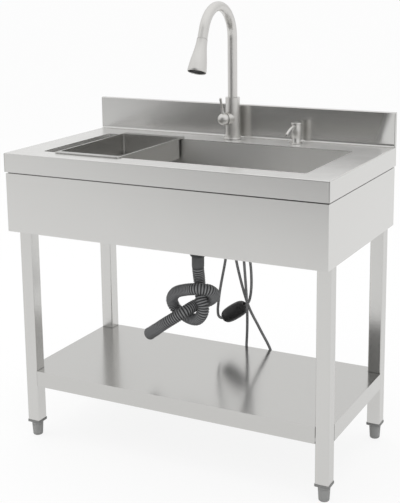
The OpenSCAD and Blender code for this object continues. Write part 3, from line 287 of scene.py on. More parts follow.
def makeCrevice():
    # painted shade where two surfaces come close
    w, given = nodeGroup("creviceShade", {"Reach": 0.008}, ["Mask"])
    near = w.add("ShaderNodeAmbientOcclusion", {"Distance": given["Reach"]}, samples=6)
    w.give("Mask", w.ramp(w.math("SUBTRACT", 1.0, near.outputs["AO"]), 0.25, 0.9))
    return w.tree


def makeCornerShade():
    # painted shade along the two front corner edges of the folded sheets
    w, given = nodeGroup("cornerShade", {"Vector": None, "Half Width": 0.5, "Front": 0.2725, "Line": 0.0012},
                         ["Mask"])
    pos = w.split(given["Vector"])
    fromSide = w.math("ABSOLUTE", w.math("SUBTRACT", given["Half Width"], w.math("ABSOLUTE", pos[0])))
    fromFront = w.math("ABSOLUTE", w.math("ADD", pos[1], given["Front"]))
    away = w.math("ADD", fromSide, fromFront)
    w.give("Mask", w.ramp(away, given["Line"], w.math("MULTIPLY", given["Line"], 3.0), 1.0, 0.0))
    return w.tree


def makeCoveShade():
    # the hollow fold along the foot of the upstand, which catches little light past its left part
    w, given = nodeGroup("coveShade", {"Vector": None, "Back": 0.2475, "Low": 0.8902, "High": 0.9,
                                       "Left": -0.12, "Run": 0.12, "Fade": 0.003, "Least": 0.45}, ["Mask"])
    pos = w.split(given["Vector"])
    behind = w.math("GREATER_THAN", pos[1], given["Back"])
    above = w.math("GREATER_THAN", pos[2], given["Low"])
    below = w.ramp(pos[2], w.math("SUBTRACT", given["High"], given["Fade"]), given["High"], 1.0, 0.0)
    along = w.ramp(pos[0], w.math("SUBTRACT", given["Left"], given["Run"]), given["Left"], given["Least"])
    w.give("Mask", w.product(behind, above, below, along))
    return w.tree


def makeDeckSheen():
    # the flat deck round the bowl, whose fine brushing scatters the light from above
    w, given = nodeGroup("deckSheen", {"Vector": None, "Front": -0.271, "Back": 0.246, "Low": 0.889,
                                       "Flat": 0.8, "Patch Scale": 9.0}, ["Mask"])
    pos = w.split(given["Vector"])
    flat = w.math("GREATER_THAN", w.facing()[2], given["Flat"])
    high = w.math("GREATER_THAN", pos[2], given["Low"])
    band = w.between(pos[1], given["Front"], given["Back"])
    share = w.math("MULTIPLY_ADD", w.noise(given["Vector"], given["Patch Scale"], 2.0), 0.5, 0.75)
    w.give("Mask", w.product(flat, high, band, share))
    return w.tree


def makeEndWarp():
    # the upstand's right end, where the thin sheet turns a little outwards, over more of it at the foot
    w, given = nodeGroup("endWarp", {"Vector": None, "Start": 0.455, "Stop": 0.497, "Back": 0.2475,
                                     "Low": 0.9, "High": 0.98, "Spread": 0.35, "Turn": 0.45}, ["Normal"])
    pos = w.split(given["Vector"])
    below = w.math("SUBTRACT", given["High"], pos[2])
    reach = w.math("MULTIPLY_ADD", below, given["Spread"], pos[0])
    along = w.ramp(reach, given["Start"], given["Stop"], kind="SMOOTHSTEP")
    behind = w.math("GREATER_THAN", pos[1], given["Back"])
    above = w.math("GREATER_THAN", pos[2], given["Low"])
    outwards = w.product(along, behind, above, given["Turn"])
    lean = w.add("ShaderNodeCombineXYZ", {0: outwards})
    own = w.add("ShaderNodeNewGeometry").outputs["Normal"]
    total = w.add("ShaderNodeVectorMath", {0: own, 1: lean.outputs[0]}, operation="ADD").outputs[0]
    w.give("Normal", w.add("ShaderNodeVectorMath", {0: total}, operation="NORMALIZE").outputs[0])
    return w.tree


def makeRibShade():
    # crests and grooves of a corrugated hose, from its own map with u in metres along it
    w, given = nodeGroup("ribShade", {"Vector": None, "Start": 0.0, "Stop": 1.0, "Pitch": 0.006, "Top": 0.46},
                         ["Crest", "Ribbed"])
    u = w.split(given["Vector"])[0]
    turns = w.math("DIVIDE", w.math("SUBTRACT", u, given["Start"]), given["Pitch"])
    wave = w.math("COSINE", w.math("MULTIPLY", w.math("SUBTRACT", turns, given["Top"]), 2 * math.pi))
    w.give("Crest", w.math("MULTIPLY_ADD", wave, 0.5, 0.5))
    w.give("Ribbed", w.between(u, given["Start"], given["Stop"]))
    return w.tree


brushedGrain = makeBrushedGrain()
dustFilm = makeDust()
mouldSkin = makeMouldSkin()
creviceShade = makeCrevice()
cornerShade = makeCornerShade()
coveShade = makeCoveShade()
deckSheen = makeDeckSheen()
endWarp = makeEndWarp()
ribShade = makeRibShade()

dustOnSteel = (0.62, 0.61, 0.58, 1)
dustOnPlastic = (0.5, 0.49, 0.47, 1)
# colour of the painted shade in crevices, along the front corners and in the cove
paintedShadeColour = (0.05, 0.05, 0.05, 1)
# colour of the painted shade on the edges of the hoses that turn away from the view
rimColour = (0.012, 0.012, 0.012, 1)
grainShare = 0.35  # how much of a steel's tone comes from its fine grain; its clouds give the rest
dustRough = 0.3  # roughness that a full film of dust adds
patchRough = 0.15  # roughness that the patches of a moulded skin add
grainDepth = 0.0003
skinDepth = 0.0002
weaveDepth = 0.0004


def opaque(colour, share=1.0):
    return (*[min(c * share, 1.0) for c in colour], 1)


def startMaterial(name, viewColour):
    mat = bpy.data.materials.new(name)
    mat.use_nodes = True
    mat.diffuse_color = opaque(viewColour)
    w = Wiring(mat.node_tree)
    shader = mat.node_tree.nodes["Principled BSDF"]
    place = w.add("ShaderNodeTexCoord").outputs["Object"]
    return w, shader, place


def brushedMetal(name, look):
    w, shader, place = startMaterial(name, look["colour"])
    grain = w.group(brushedGrain, {"Vector": place, "Fine": look["Fine"], "Long": look["Long"],
                                   "Upright": look["Upright"], "Cloud Scale": look["Cloud Scale"]})
    dust = w.group(dustFilm, {"Vector": place, "Amount": look["dust"]})["Mask"]
    clouds = w.math("MULTIPLY", grain["Cloud"], 1 - grainShare)
    tone = w.math("MULTIPLY_ADD", grain["Grain"], grainShare, clouds)
    colour = w.mixColour(tone, opaque(look["colour"], look["dark"]), opaque(look["colour"]))
    colour = w.mixColour(dust, colour, dustOnSteel)
    # painted shade: the steel darkens where surfaces come close, and on the sink top also along the two front
    # corners and in the cove
    shade = w.math("MULTIPLY", w.group(creviceShade, {"Reach": look["reach"]})["Mask"], look["crevice"])
    if look["corner"]:
        for tree, amount in ((cornerShade, look["corner"]), (coveShade, look["cove"])):
            mask = w.group(tree, {"Vector": place})["Mask"]
            shade = w.math("MAXIMUM", shade, w.math("MULTIPLY", mask, amount))
    w.join(w.mixColour(shade, colour, paintedShadeColour), shader.inputs["Base Color"])
    rough = w.math("MULTIPLY_ADD", grain["Grain"], look["roughGrain"], look["rough"])
    rough = w.math("MULTIPLY_ADD", grain["Cloud"], look["roughCloud"], rough)
    w.join(w.math("MULTIPLY_ADD", dust, dustRough, rough), shader.inputs["Roughness"])
    if look["deck"]:
        deck = w.group(deckSheen, {"Vector": place})["Mask"]
        w.join(w.math("MULTIPLY_ADD", deck, -look["deck"], 1.0), shader.inputs["Metallic"])
    else:
        shader.inputs["Metallic"].default_value = 1.0
    # the sheen spreads across the brushed lines
    shader.inputs["Anisotropic"].default_value = look["sheen"]
    other = 0 if look["Upright"] else 2
    turned = w.math("GREATER_THAN", w.math("ABSOLUTE", w.facing()[other]), steep)
    across = w.add("ShaderNodeCombineXYZ", {1: turned, other: w.math("SUBTRACT", 1.0, turned)})
    w.join(across.outputs[0], shader.inputs["Tangent"])
    warp = w.group(endWarp, {"Vector": place})["Normal"] if look["corner"] else None
    w.bump(shader, grain["Grain"], look["bump"], grainDepth, warp)


def mouldedPlastic(name, look):
    w, shader, place = startMaterial(name, look["colour"])
    skin = w.group(mouldSkin, {"Vector": place})
    dust = w.group(dustFilm, {"Vector": place, "Amount": look["dust"]})["Mask"]
    colour = w.mixColour(skin["Patch"], opaque(look["colour"], look["dark"]), opaque(look["colour"]))
    w.join(w.mixColour(dust, colour, dustOnPlastic), shader.inputs["Base Color"])
    rough = w.math("MULTIPLY_ADD", skin["Patch"], patchRough, look["rough"])
    w.join(w.math("MULTIPLY_ADD", dust, dustRough, rough), shader.inputs["Roughness"])
    w.bump(shader, skin["Height"], look["bump"], skinDepth)


def corrugatedPlastic(name, look):
    # the hose that wears it sets the ribs' start, stop and pitch
    w, shader, place = startMaterial(name, look["colour"])
    uv = w.add("ShaderNodeUVMap", uv_map="hoseMap").outputs[0]
    ribs = w.add("ShaderNodeGroup", {"Vector": uv}, node_tree=ribShade, name="ribs").outputs
    skin = w.group(mouldSkin, {"Vector": place})
    dust = w.group(dustFilm, {"Vector": place, "Amount": look["dust"]})["Mask"]
    # painted highlight on the crests of the ribs and painted shade in their grooves
    ribbed = w.mixColour(ribs["Crest"], opaque(look["colour"], look["groove"]),
                         opaque(look["colour"], look["crest"]))
    colour = w.mixColour(ribs["Ribbed"], opaque(look["colour"]), ribbed)
    patch = w.math("MULTIPLY", skin["Patch"], look["patchShare"])
    colour = w.mixColour(patch, colour, look["patchColour"])
    colour = w.mixColour(dust, colour, dustOnPlastic)
    # painted shade on the edges of the hose that turn away from the view
    rim = w.add("ShaderNodeLayerWeight", {"Blend": 0.35}).outputs["Facing"]
    colour = w.mixColour(w.math("MULTIPLY", rim, look["rim"]), colour, rimColour)
    w.join(colour, shader.inputs["Base Color"])
    w.join(w.math("MULTIPLY_ADD", skin["Patch"], patchRough, look["rough"]), shader.inputs["Roughness"])
    shader.inputs["Specular IOR Level"].default_value = look["specular"]
    w.bump(shader, skin["Height"], look["bump"], skinDepth)


def braidedSleeve(name, look):
    # woven sleeve: two crossing spirals over the hose's own map, with u in metres along it
    w, shader, place = startMaterial(name, look["colour"])
    uv = w.split(w.add("ShaderNodeUVMap", uv_map="hoseMap").outputs[0])
    turns = w.math("MULTIPLY", uv[1], look["strands"])
    climb = w.math("MULTIPLY", uv[0], look["climb"])
    waves = [w.math("SINE", w.math("MULTIPLY", w.math(way, turns, climb), 2 * math.pi))
             for way in ("ADD", "SUBTRACT")]
    height = w.math("MULTIPLY_ADD", w.math("MAXIMUM", *waves), 0.5, 0.5)
    tone = w.math("MULTIPLY", height, w.math("MULTIPLY_ADD", w.noise(place, 60.0, 3.0), 0.5, 0.7))
    woven = w.mixColour(tone, opaque(look["colour"], look["dark"]), opaque(look["colour"]))
    # painted shade on the edges of the hose that turn away from the view
    rim = w.add("ShaderNodeLayerWeight", {"Blend": 0.45}).outputs["Facing"]
    woven = w.mixColour(w.math("MULTIPLY", rim, look["rim"]), woven, rimColour)
    w.join(woven, shader.inputs["Base Color"])
    w.join(w.math("MULTIPLY_ADD", height, -0.15, look["rough"]), shader.inputs["Roughness"])
    shader.inputs["Specular IOR Level"].default_value = look["specular"]
    w.bump(shader, height, look["bump"], weaveDepth)


sheetLook = {"colour": (0.66, 0.655, 0.64), "dark": 0.97, "rough": 0.19, "roughGrain": 0.05,
             "roughCloud": 0.06, "bump": 0.02, "sheen": 0.6, "Fine": 900.0, "Long": 6.0, "Upright": 0.0,
             "Cloud Scale": 4.0, "dust": 0.05, "reach": 0.008, "crevice": 0.85, "corner": 0.0, "cove": 0.0,
                      "deck": 0.0}
# what differs from the plain sheet; the lighter colours of the sink top, apron and bowl are painted light,
# and the darker ones of the shelf and drain tray painted shade, on the same steel
steels = {
    "sheetSteel": {},
    "foldedSteel": {"colour": (0.71, 0.705, 0.69), "corner": 0.3, "cove": 0.1, "deck": 0.5},
    "shelfSteel": {"colour": (0.61, 0.605, 0.59), "rough": 0.14, "roughCloud": 0.04},
    "uprightSteel": {"Upright": 1.0},
    "bowlSteel": {"colour": (0.86, 0.855, 0.84), "rough": 0.38, "reach": 0.045, "crevice": 0.7},
    "traySteel": {"colour": (0.56, 0.555, 0.54), "rough": 0.22, "reach": 0.012, "roughGrain": 0.02},
    "wasteSteel": {"rough": 0.14, "roughGrain": 0.06},
    "boltSteel": {"colour": (0.55, 0.55, 0.54), "rough": 0.3},
    "satinNickel": {"colour": (0.72, 0.71, 0.69), "rough": 0.27, "reach": 0.005, "roughGrain": 0.06,
                    "Upright": 1.0, "Fine": 1500.0, "Long": 10.0},
    "turnedBrass": {"colour": (0.60, 0.46, 0.22), "rough": 0.25},
    "springSteel": {"colour": (0.5, 0.5, 0.5)},
    "nutChrome": {"colour": (0.7, 0.7, 0.7), "rough": 0.12, "roughGrain": 0.03},
}
for name, look in steels.items():
    brushedMetal(name, {**sheetLook, **look})

plasticLook = {"dark": 0.8, "bump": 0.08, "dust": 0.1}
plastics = {
    "footPlastic": {"colour": (0.33, 0.332, 0.327), "rough": 0.5},
    "plugPlastic": {"colour": (0.23, 0.231, 0.228), "rough": 0.5},
    "cuffPlastic": {"colour": (0.15, 0.152, 0.155), "rough": 0.38},
    "nutPlastic": {"colour": (0.035, 0.036, 0.038), "rough": 0.35},
    "blackPlastic": {"colour": (0.018, 0.018, 0.019), "rough": 0.3},
    "weightPlastic": {"colour": (0.014, 0.014, 0.015), "rough": 0.38, "bump": 0.2},
    "whitePlastic": {"colour": (0.75, 0.75, 0.72), "rough": 0.35, "dust": 0.02},
    "sealRubber": {"colour": (0.02, 0.02, 0.02), "rough": 0.6},
}
for name, look in plastics.items():
    mouldedPlastic(name, {**plasticLook, **look})

# the drain hose's grooves and crests are painted shade and painted highlight, and the edge shade of both
# hoses is painted shade
corrugatedPlastic("hosePlastic", {"colour": (0.13, 0.132, 0.135), "groove": 0.12, "crest": 2.7, "rim": 0.9,
                                  "patchColour": (0.02, 0.02, 0.02, 1), "patchShare": 0.25, "rough": 0.38,
                                  "specular": 0.3, "bump": 0.08, "dust": 0.1})
braidedSleeve("braidedSleeve", {"colour": (0.30, 0.302, 0.305), "dark": 0.45, "rough": 0.75, "rim": 0.9,
                                "bump": 0.5, "specular": 0.05, "strands": 12.0, "climb": 240.0})
print("materials made")

# each material and the nodes that wear it
finishes = {
    "foldedSteel": "sink_top apron",
    "sheetSteel": "upstand_caps rear_rail top_rails shelf_ribs shelf_tabs",
    "shelfSteel": "shelf",
    "bowlSteel": "bowl",
    "traySteel": "drain_tray",
    "uprightSteel": "leg_sockets leg_front_left leg_front_right leg_rear_left leg_rear_right",
    "boltSteel": "leg_bolts shelf_screws",
    "wasteSteel": "waste_body waste_basket",
    "plugPlastic": "foot_plugs",
    "footPlastic": "foot_front_left foot_front_right foot_rear_left foot_rear_right",
    "nutPlastic": "drain_nut",
    "hosePlastic": "drain_hose",
    "springSteel": "pump_spring",
    "satinNickel": "tap_flange tap_body handle_ball lever lever_ring spout spray_head soap_collar pump_head",
    "turnedBrass": "tap_shank shank_nut",
    "sealRubber": "shank_washer waste_gasket",
    "blackPlastic": "hose_plate dock_ring spray_face hose_coupler hose_weight soap_nut",
    "whitePlastic": "waste_nut valve_yoke spout_bush pump_barrel pump_stem dip_tube soap_bottle",
    "braidedSleeve": "spray_hose_upper spray_hose_tail spray_hose_loop supply_hose_hot supply_hose_cold",
    "nutChrome": "supply_nuts",
}
for material, wearers in finishes.items():
    for nodeName in wearers.split():
        wear(nodes[nodeName], material)


# turned and moulded pieces, modelled upright and then set in their place
def turnRings(steps, corners, tube=False):
    # steps list height and radius in mm, from the first circle on; a tube ends where it starts
    deselectAll()
    z, r = steps[0]
    bpy.ops.mesh.primitive_circle_add(vertices=corners, radius=r / 1000, location=(0, 0, z / 1000),
                                      fill_type="NOTHING" if tube else "NGON")
    obj = bpy.context.object
    placeInMesh()
    startEdit("EDGE" if tube else "FACE")
    for nextZ, nextR in steps[1:]:
        bpy.ops.mesh.extrude_region_move(TRANSFORM_OT_translate={"value": (0, 0, (nextZ - z) / 1000)})
        if nextR != r:
            bpy.ops.transform.resize(value=(nextR / r, nextR / r, 1), center_override=(0, 0, nextZ / 1000))
        z, r = nextZ, nextR
    if tube:
        bpy.ops.mesh.select_all(action="SELECT")
        bpy.ops.mesh.remove_doubles(threshold=0.00001)
    endEdit()
    return obj


def addUprightCircle(radius, corners, place):
    # edge circle that faces forwards, the start of a bent or coiled tube
    deselectAll()
    bpy.ops.mesh.primitive_circle_add(vertices=corners, radius=radius, location=place,
                                      rotation=(math.pi / 2, 0, 0), fill_type="NOTHING")
    placeInMesh()
    return bpy.context.object


def copyOf(obj):
    pickOnly(obj)
    bpy.ops.object.duplicate(linked=False)
    return bpy.context.object


def joinPieces(first, *others):
    deselectAll()
    for obj in (first, *others):
        obj.select_set(True)
    bpy.context.view_layer.objects.active = first
    bpy.ops.object.join()
    return first


def copiesAround(obj, count):
    copies = []
    for i in range(1, count):
        other = copyOf(obj)
        bpy.ops.transform.rotate(value=2 * math.pi * i / count, orient_axis="Z", center_override=(0, 0, 0))
        placeInMesh()
        copies.append(other)
    return joinPieces(obj, *copies)


def movePiece(obj, x, y, z):
    pickOnly(obj)
    bpy.ops.transform.translate(value=(x, y, z))
    placeInMesh()
    return obj


def threadRings(low, high, pitch, crest, root):
    # rings of a screw thread going up
    count = int((high - low) / pitch)
    turn = ((0.1, crest), (0.3, crest), (0.6, root), (0.8, root))
    return [(low + (i + share) * pitch, r) for i in range(count) for share, r in turn]


# places in metres: the bowl's and the tap's middle from front to back, and the height of the deck
bowlY = -0.0245
tapY = 0.216
deckTop = 0.890

# routes of the thin hoses in mm, behind the tap's middle, and the weight that one of them carries
hoseSetup = {
    "hot": [(-8.8, -5.1, 792), (-9, -6, 770), (-4, -10, 690), (6, -11, 590), (16, -11, 500), (49, -4, 371),
            (80, 15, 290), (112, 34, 212), (124, 38, 150), (126, 38, 120)],
    "cold": [(8.8, -5.1, 792), (10, -6, 770), (22, -10, 690), (34, -12, 590), (43, -13, 500), (52, -14, 374),
             (42, 10, 290), (28, 34, 212), (25, 38, 150), (25, 38, 120)],
    "weightMiddle": (-8, 22, 326), "weightTilt": 35, "weightLength": 92,
    "weightStops": (-0.5, -0.39, -0.22, 0, 0.22, 0.4, 0.55),
    "loopDown": [(0, 0, 792), (-1, 2, 765), (-8, 5, 690), (-20, 8, 590), (-33, 10, 500), (-55, 15, 400),
                 (-66, 19, 335), (-67, 20, 322), (-67, 21, 311), (-65, 22, 303), (-58, 22, 298)],
    "loopUp": [(46, 19, 374), (54, 14, 408), (56, 12, 450), (52, 12, 500), (38, 12, 570), (27, 12, 616),
               (24, 12, 640)],
    "loopTop": [(24, 12, 676), (20, 12, 710), (4, 11, 765), (0, 10.2, 792)],
    "diameter": 0.0085, "corners": 24, "stepsPerPoint": 16, "ringGap": 0.004,
    "loopFrom": 0.792, "keep": 0.764,
}


def routeFrom(points, y):
    # metres from millimetres behind y
    return [(p[0] / 1000, y + p[1] / 1000, p[2] / 1000) for p in points]


weightSetup = {
    "half": [(0, 25.0), (8, 24.95), (14, 24.7), (20, 24.2), (25, 23.6), (29, 22.9), (29.3, 21.9),
             (30.7, 21.6), (31, 22.5), (34.2, 21.5), (34.5, 20.4), (35.9, 19.9), (36.2, 20.8),
             (39.5, 19.2), (42, 17.2), (44.6, 14.8), (45.6, 13.4), (46, 12.1), (46, 10.7)],
    "bore": [(4, 5.0), (-4, 5.0), (-46, 10.7)],
    "shellGap": 0.0004, "edge": 0.0004,
}


def addHoseWeight(setup):
    # two moulded shells that close round the hose, with ridges at both ends
    half = setup["half"]
    # the bore widens to both mouths, as the hose leans in it when the weight goes up
    steps = [(-z, r) for z, r in reversed(half)] + half[1:] + setup["bore"]
    shell = turnRings(steps, 56, tube=True)
    startEdit("EDGE")
    bpy.ops.mesh.bisect(plane_co=(0, setup["shellGap"], 0), plane_no=(0, 1, 0), use_fill=True,
                        clear_inner=True)
    bpy.ops.object.mode_set(mode="OBJECT")
    bevelEdges(shell, setup["edge"], 2)
    mirror = shell.modifiers.new("otherShell", "MIRROR")
    mirror.use_axis = (False, True, False)
    applyModifiers(shell)
    smoothBy(shell, 35)
    middle = routeFrom([hoseSetup["weightMiddle"]], tapY)[0]
    lean = math.radians(90 - hoseSetup["weightTilt"])
    shell.matrix_world = Matrix.Translation(middle) @ Matrix.Rotation(lean, 4, "Y")
    return finishPiece(shell, "hoseWeight", "weightPlastic", "weight", "hose_weight")


couplerSetup = {
    "steps": [(0, 6.2), (0, 7.3), (0.7, 8.0), (11.2, 8.0), (12.0, 9.3), (12.7, 10.0), (15.2, 10.0),
              (15.6, 9.4), (16.6, 9.4), (17.0, 10.0), (19.0, 10.0), (19.4, 9.4), (20.4, 9.4),
              (20.8, 10.0), (23.3, 10.0), (24.0, 9.3), (24.8, 8.0), (35.3, 8.0), (36.0, 7.3),
              (36.0, 6.2)],
}


def addCoupler(setup):
    coupler = turnRings(setup["steps"], 32)
    smoothBy(coupler, 35)
    coupler.location = routeFrom(hoseSetup["loopUp"], tapY)[-1]
    return finishPiece(coupler, "hoseCoupler", "blackPlastic", "stand", "hose_coupler")


supplySetup = {
    "nut": [(-16, 11.4), (-15.2, 12.7), (-0.9, 12.7), (0, 11.4)],
    "bore": [(-17, 9.3), (-16.2, 9.3)] + threadRings(-16.0, -4.6, 1.8, 9.9, 9.3) + [(-4.2, 9.3)],
    "ferrule": [(-0.5, 4.3), (-0.5, 6.6), (0.3, 7.2), (3.4, 7.2), (4.0, 6.2), (6.0, 6.2), (6.4, 5.8),
                (7.4, 5.8), (7.8, 6.2), (9.8, 6.2), (10.2, 5.8), (11.2, 5.8), (11.6, 6.2), (14.4, 6.2),
                (15.2, 5.4), (15.2, 4.3), (-0.5, 4.3)],
}


def addSupplyNuts(setup):
    # hexagon nuts with a threaded socket for the stop valve, and a crimped ferrule on the hose
    made = []
    for label, hose in (("hotNut", "hot"), ("coldNut", "cold")):
        nut = turnRings(setup["nut"], 6)
        cutter = turnRings(setup["bore"], 36)
        mod = nut.modifiers.new("socket", "BOOLEAN")
        mod.object = cutter
        mod.operation = "DIFFERENCE"
        mod.solver = "EXACT"
        applyModifiers(nut)
        deletePiece(cutter)
        piece = joinPieces(nut, turnRings(setup["ferrule"], 32, tube=True))
        smoothBy(piece, 25)
        piece.location = routeFrom(hoseSetup[hose], tapY)[-1]
        made.append(finishPiece(piece, label, "nutChrome", "stand", "supply_nuts"))
    return made


hoseWeight = addHoseWeight(weightSetup)
hoseCoupler = addCoupler(couplerSetup)
supplyNuts = addSupplyNuts(supplySetup)
print("pieces on the hoses made")


# hoses, swept along the routes that the solids follow
def splineThrough(points, count):
    # smooth path through the points, in equal shares of each stretch
    pts = [Vector(p) for p in points]
    last = len(pts) - 1
    out = []
    for i in range(count + 1):
        t = last * i / count
        k = min(int(t), last - 1)
        u = t - k
        a, b, c, d = pts[max(k - 1, 0)], pts[k], pts[k + 1], pts[min(k + 2, last)]
        out.append(0.5 * (2 * b + (c - a) * u + (2 * a - 5 * b + 4 * c - d) * u * u
                          + (3 * b - a - 3 * c + d) * u * u * u))
    return out


def pathFrames(path):
    # distance, tangent and a sideways vector that doesn't twist, at each point of a path
    runs = [0.0]
    for a, b in zip(path, path[1:]):
        runs.append(runs[-1] + (b - a).length)
    last = len(path) - 1
    tangents = [(path[min(i + 1, last)] - path[max(i - 1, 0)]).normalized() for i in range(last + 1)]
    side = tangents[0].orthogonal().normalized()
    sides = []
    for t in tangents:
        side = (side - t * side.dot(t)).normalized()
        sides.append(side.copy())
    return runs, tangents, sides


def sweepProfile(name, path, profile, corners, hollow):
    # profile lists distance along the path and radius; a hollow one goes out and comes back inside
    runs, tangents, sides = pathFrames(path)
    mesh = bpy.data.meshes.new(name)
    bm = bmesh.new()
    hoseMap = bm.loops.layers.uv.new("hoseMap")
    rings = []
    for s, r in profile:
        i = min(max(bisect.bisect_right(runs, s) - 1, 0), len(path) - 2)
        u = (s - runs[i]) / (runs[i + 1] - runs[i])
        t = tangents[i].lerp(tangents[i + 1], u).normalized()
        side = sides[i].lerp(sides[i + 1], u)
        side = (side - t * side.dot(t)).normalized()
        up = t.cross(side)
        middle = path[i].lerp(path[i + 1], u)
        rings.append([bm.verts.new(middle + r * (math.cos(a) * side + math.sin(a) * up))
                      for a in (2 * math.pi * k / corners for k in range(corners))])
    count = len(rings)
    for j in range(count if hollow else count - 1):
        ringA, ringB = rings[j], rings[(j + 1) % count]
        sA, sB = profile[j][0], profile[(j + 1) % count][0]
        for k in range(corners):
            k2 = (k + 1) % corners
            face = bm.faces.new((ringA[k], ringA[k2], ringB[k2], ringB[k]))
            face.smooth = True
            for loop, uv in zip(face.loops, ((sA, k), (sA, k + 1), (sB, k + 1), (sB, k))):
                loop[hoseMap].uv = (uv[0], uv[1] / corners)
    if not hollow:
        for ring in (rings[0], rings[-1]):
            bm.faces.new(ring)
    bmesh.ops.recalc_face_normals(bm, faces=bm.faces)
    bm.to_mesh(mesh)
    bm.free()
    obj = bpy.data.objects.new(name, mesh)
    scene.collection.objects.link(obj)
    return obj


def pathLength(path):
    return sum((b - a).length for a, b in zip(path, path[1:]))


drainSetup = {
    "route": [(0, 0, 578), (0, 0, 560), (0, 0, 540), (-1, 8, 507), (4, 5, 477), (15, -10, 451),
              (23, -14, 430), (19, -14, 407), (-1, -7, 385), (-30, 2, 381), (-59, 7, 390),
              (-83, 5, 408), (-88, -3, 435), (-68, -13, 461), (-31, -25, 477), (4, -36, 487),
              (28, -32, 489), (45, -15, 482), (46, 13, 461), (25, 27, 439), (3, 23, 428),
              (-14, 4, 423), (-33, -32, 410), (-69, -46, 385), (-96, -45, 366), (-124, -38, 345),
              (-156, -26, 322)],
    "pathSteps": 520, "boreSteps": 160, "corners": 32, "cuffCorners": 48,
    "diameter": 0.036, "ribs": 112, "ribDepth": 0.0023, "shoulder": 0.0003, "bore": 0.0145,
    "cuffStart": 0.036, "cuffEnd": 0.044, "cuffRadius": 0.0185, "insideCuff": 0.002,
}


def addDrainHose(setup):
    path = splineThrough(routeFrom(setup["route"], bowlY), setup["pathSteps"])
    total = pathLength(path)
    start, end = setup["cuffStart"], setup["cuffEnd"]
    pitch = (total - start - end) / setup["ribs"]
    ribs = bpy.data.materials["hosePlastic"].node_tree.nodes["ribs"].inputs
    for label, value in (("Start", start), ("Stop", total - end), ("Pitch", pitch)):
        ribs[label].default_value = value
    top = setup["diameter"] / 2
    low, shoulder = top - setup["ribDepth"], top - setup["shoulder"]
    cuff = setup["cuffRadius"]
    wave = ((0.0, low), (0.14, low), (0.30, shoulder), (0.46, top), (0.62, shoulder), (0.80, low))
    out = [(0, cuff - 0.0006), (0.0008, cuff), (start - 0.006, cuff), (start - 0.0052, cuff - 0.0004),
           (start - 0.0015, cuff - 0.0006), (start - 0.0007, low)]
    for i in range(setup["ribs"]):
        out += [(start + (i + share) * pitch, r) for share, r in wave]
    mouth = total - setup["insideCuff"]
    out += [(total - end, low), (mouth, low)]
    bore, count = setup["bore"], setup["boreSteps"]
    back = [(mouth, bore)] + [((total - end) * (1 - i / count), bore) for i in range(count + 1)]
    hose = sweepProfile("drainHose", path, out + back, setup["corners"], True)
    finishPiece(hose, "drainHose", "hosePlastic", "stand", "drain_hose")
    # soft cuff pushed over the free end
    cuffProfile = [(total - end - 0.0035, low), (total - end, cuff - 0.0012),
                   (total - end + 0.003, cuff - 0.0008), (total - end + 0.004, cuff),
                   (total - 0.0062, cuff), (total - 0.0056, cuff + 0.0005), (total - 0.0008, cuff + 0.0005),
                   (total, cuff), (total, bore + 0.0022), (total - 0.0012, bore + 0.0012),
                   (total - 0.004, bore + 0.001), (total - 0.0045, low - 0.0003), (total - end, low - 0.0003)]
    drainCuff = sweepProfile("drainCuff", path, cuffProfile, setup["cuffCorners"], True)
    finishPiece(drainCuff, "drainCuff", "cuffPlastic", "stand", "drain_hose")
    print("drain hose", round(total * 1000, 1), "mm")


addDrainHose(drainSetup)


def sweepThin(name, path, total, count, radius, corners):
    # plain round hose of equal steps
    return sweepProfile(name, path, [(total * i / count, radius) for i in range(count + 1)], corners, False)


def addThinHose(name, points, node):
    path = splineThrough(routeFrom(points, tapY), hoseSetup["stepsPerPoint"] * (len(points) - 1))
    total = pathLength(path)
    count = int(total / hoseSetup["ringGap"])
    hose = sweepThin(name, path, total, count, hoseSetup["diameter"] / 2, hoseSetup["corners"])
    finishPiece(hose, name, "braidedSleeve", "stand", node)
    print(name, round(total * 1000, 1), "mm")
    return hose


def addThinHoses(setup):
    tilt = math.radians(setup["weightTilt"])
    mid = Vector(setup["weightMiddle"])
    along = Vector((math.cos(tilt), 0, math.sin(tilt))) * setup["weightLength"]
    through = [tuple(mid + along * s) for s in setup["weightStops"]]
    addThinHose("supplyHoseHot", setup["hot"], "supply_hose_hot")
    addThinHose("supplyHoseCold", setup["cold"], "supply_hose_cold")
    route = setup["loopDown"] + through + setup["loopUp"]
    loop = addThinHose("sprayHoseLoop", route, "spray_hose_loop")
    top = addThinHose("sprayHoseTop", setup["loopTop"], "spray_hose_loop")
    for piece in (loop, top):
        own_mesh(piece)


addThinHoses(hoseSetup)
print("hoses made")


headSetup = {
    "skin": [(-0.3, 14.8), (-0.9, 15.5), (-2.0, 15.55), (-2.2, 14.9), (-3.4, 14.9), (-3.6, 15.6),
             (-14, 15.9), (-20, 16.5), (-26, 17.2), (-32, 18.0), (-40, 19.3), (-48, 20.7), (-57, 22.5),
             (-66, 24.1), (-76, 25.5), (-86, 26.6), (-92, 27.2), (-95, 27.5), (-97.4, 27.4),
             (-99, 27.1), (-99.8, 26.6), (-100, 26.1), (-99.9, 25.6), (-99.4, 25.25), (-98.4, 25.1),
             (-94, 25.0)],
    "plug": [(-0.5, 8.0), (3.0, 8.0), (3.2, 7.2), (5.4, 7.2), (5.6, 8.0), (11.2, 8.0), (12.0, 7.2),
             (12.0, 5.2), (8.0, 4.6)],
    "face": [(-95.0, 24.2), (-95.3, 24.9), (-97.0, 24.9), (-97.3, 24.4), (-97.3, 22.4), (-96.5, 21.9),
             (-96.5, 15.0), (-97.2, 14.5), (-97.2, 10.6), (-96.4, 8.2), (-96.4, 4.0)],
    "nozzle": [(-96.0, 1.5), (-97.6, 1.35), (-98.0, 1.0), (-98.0, 0.55), (-97.0, 0.5)],
    "wideRow": (12, 0.0183), "innerRow": (8, 0.0125),
}
headFrame = Matrix.Translation((0, 0.01975, 1.20915)) @ Matrix.Rotation(math.radians(-22), 4, "X")


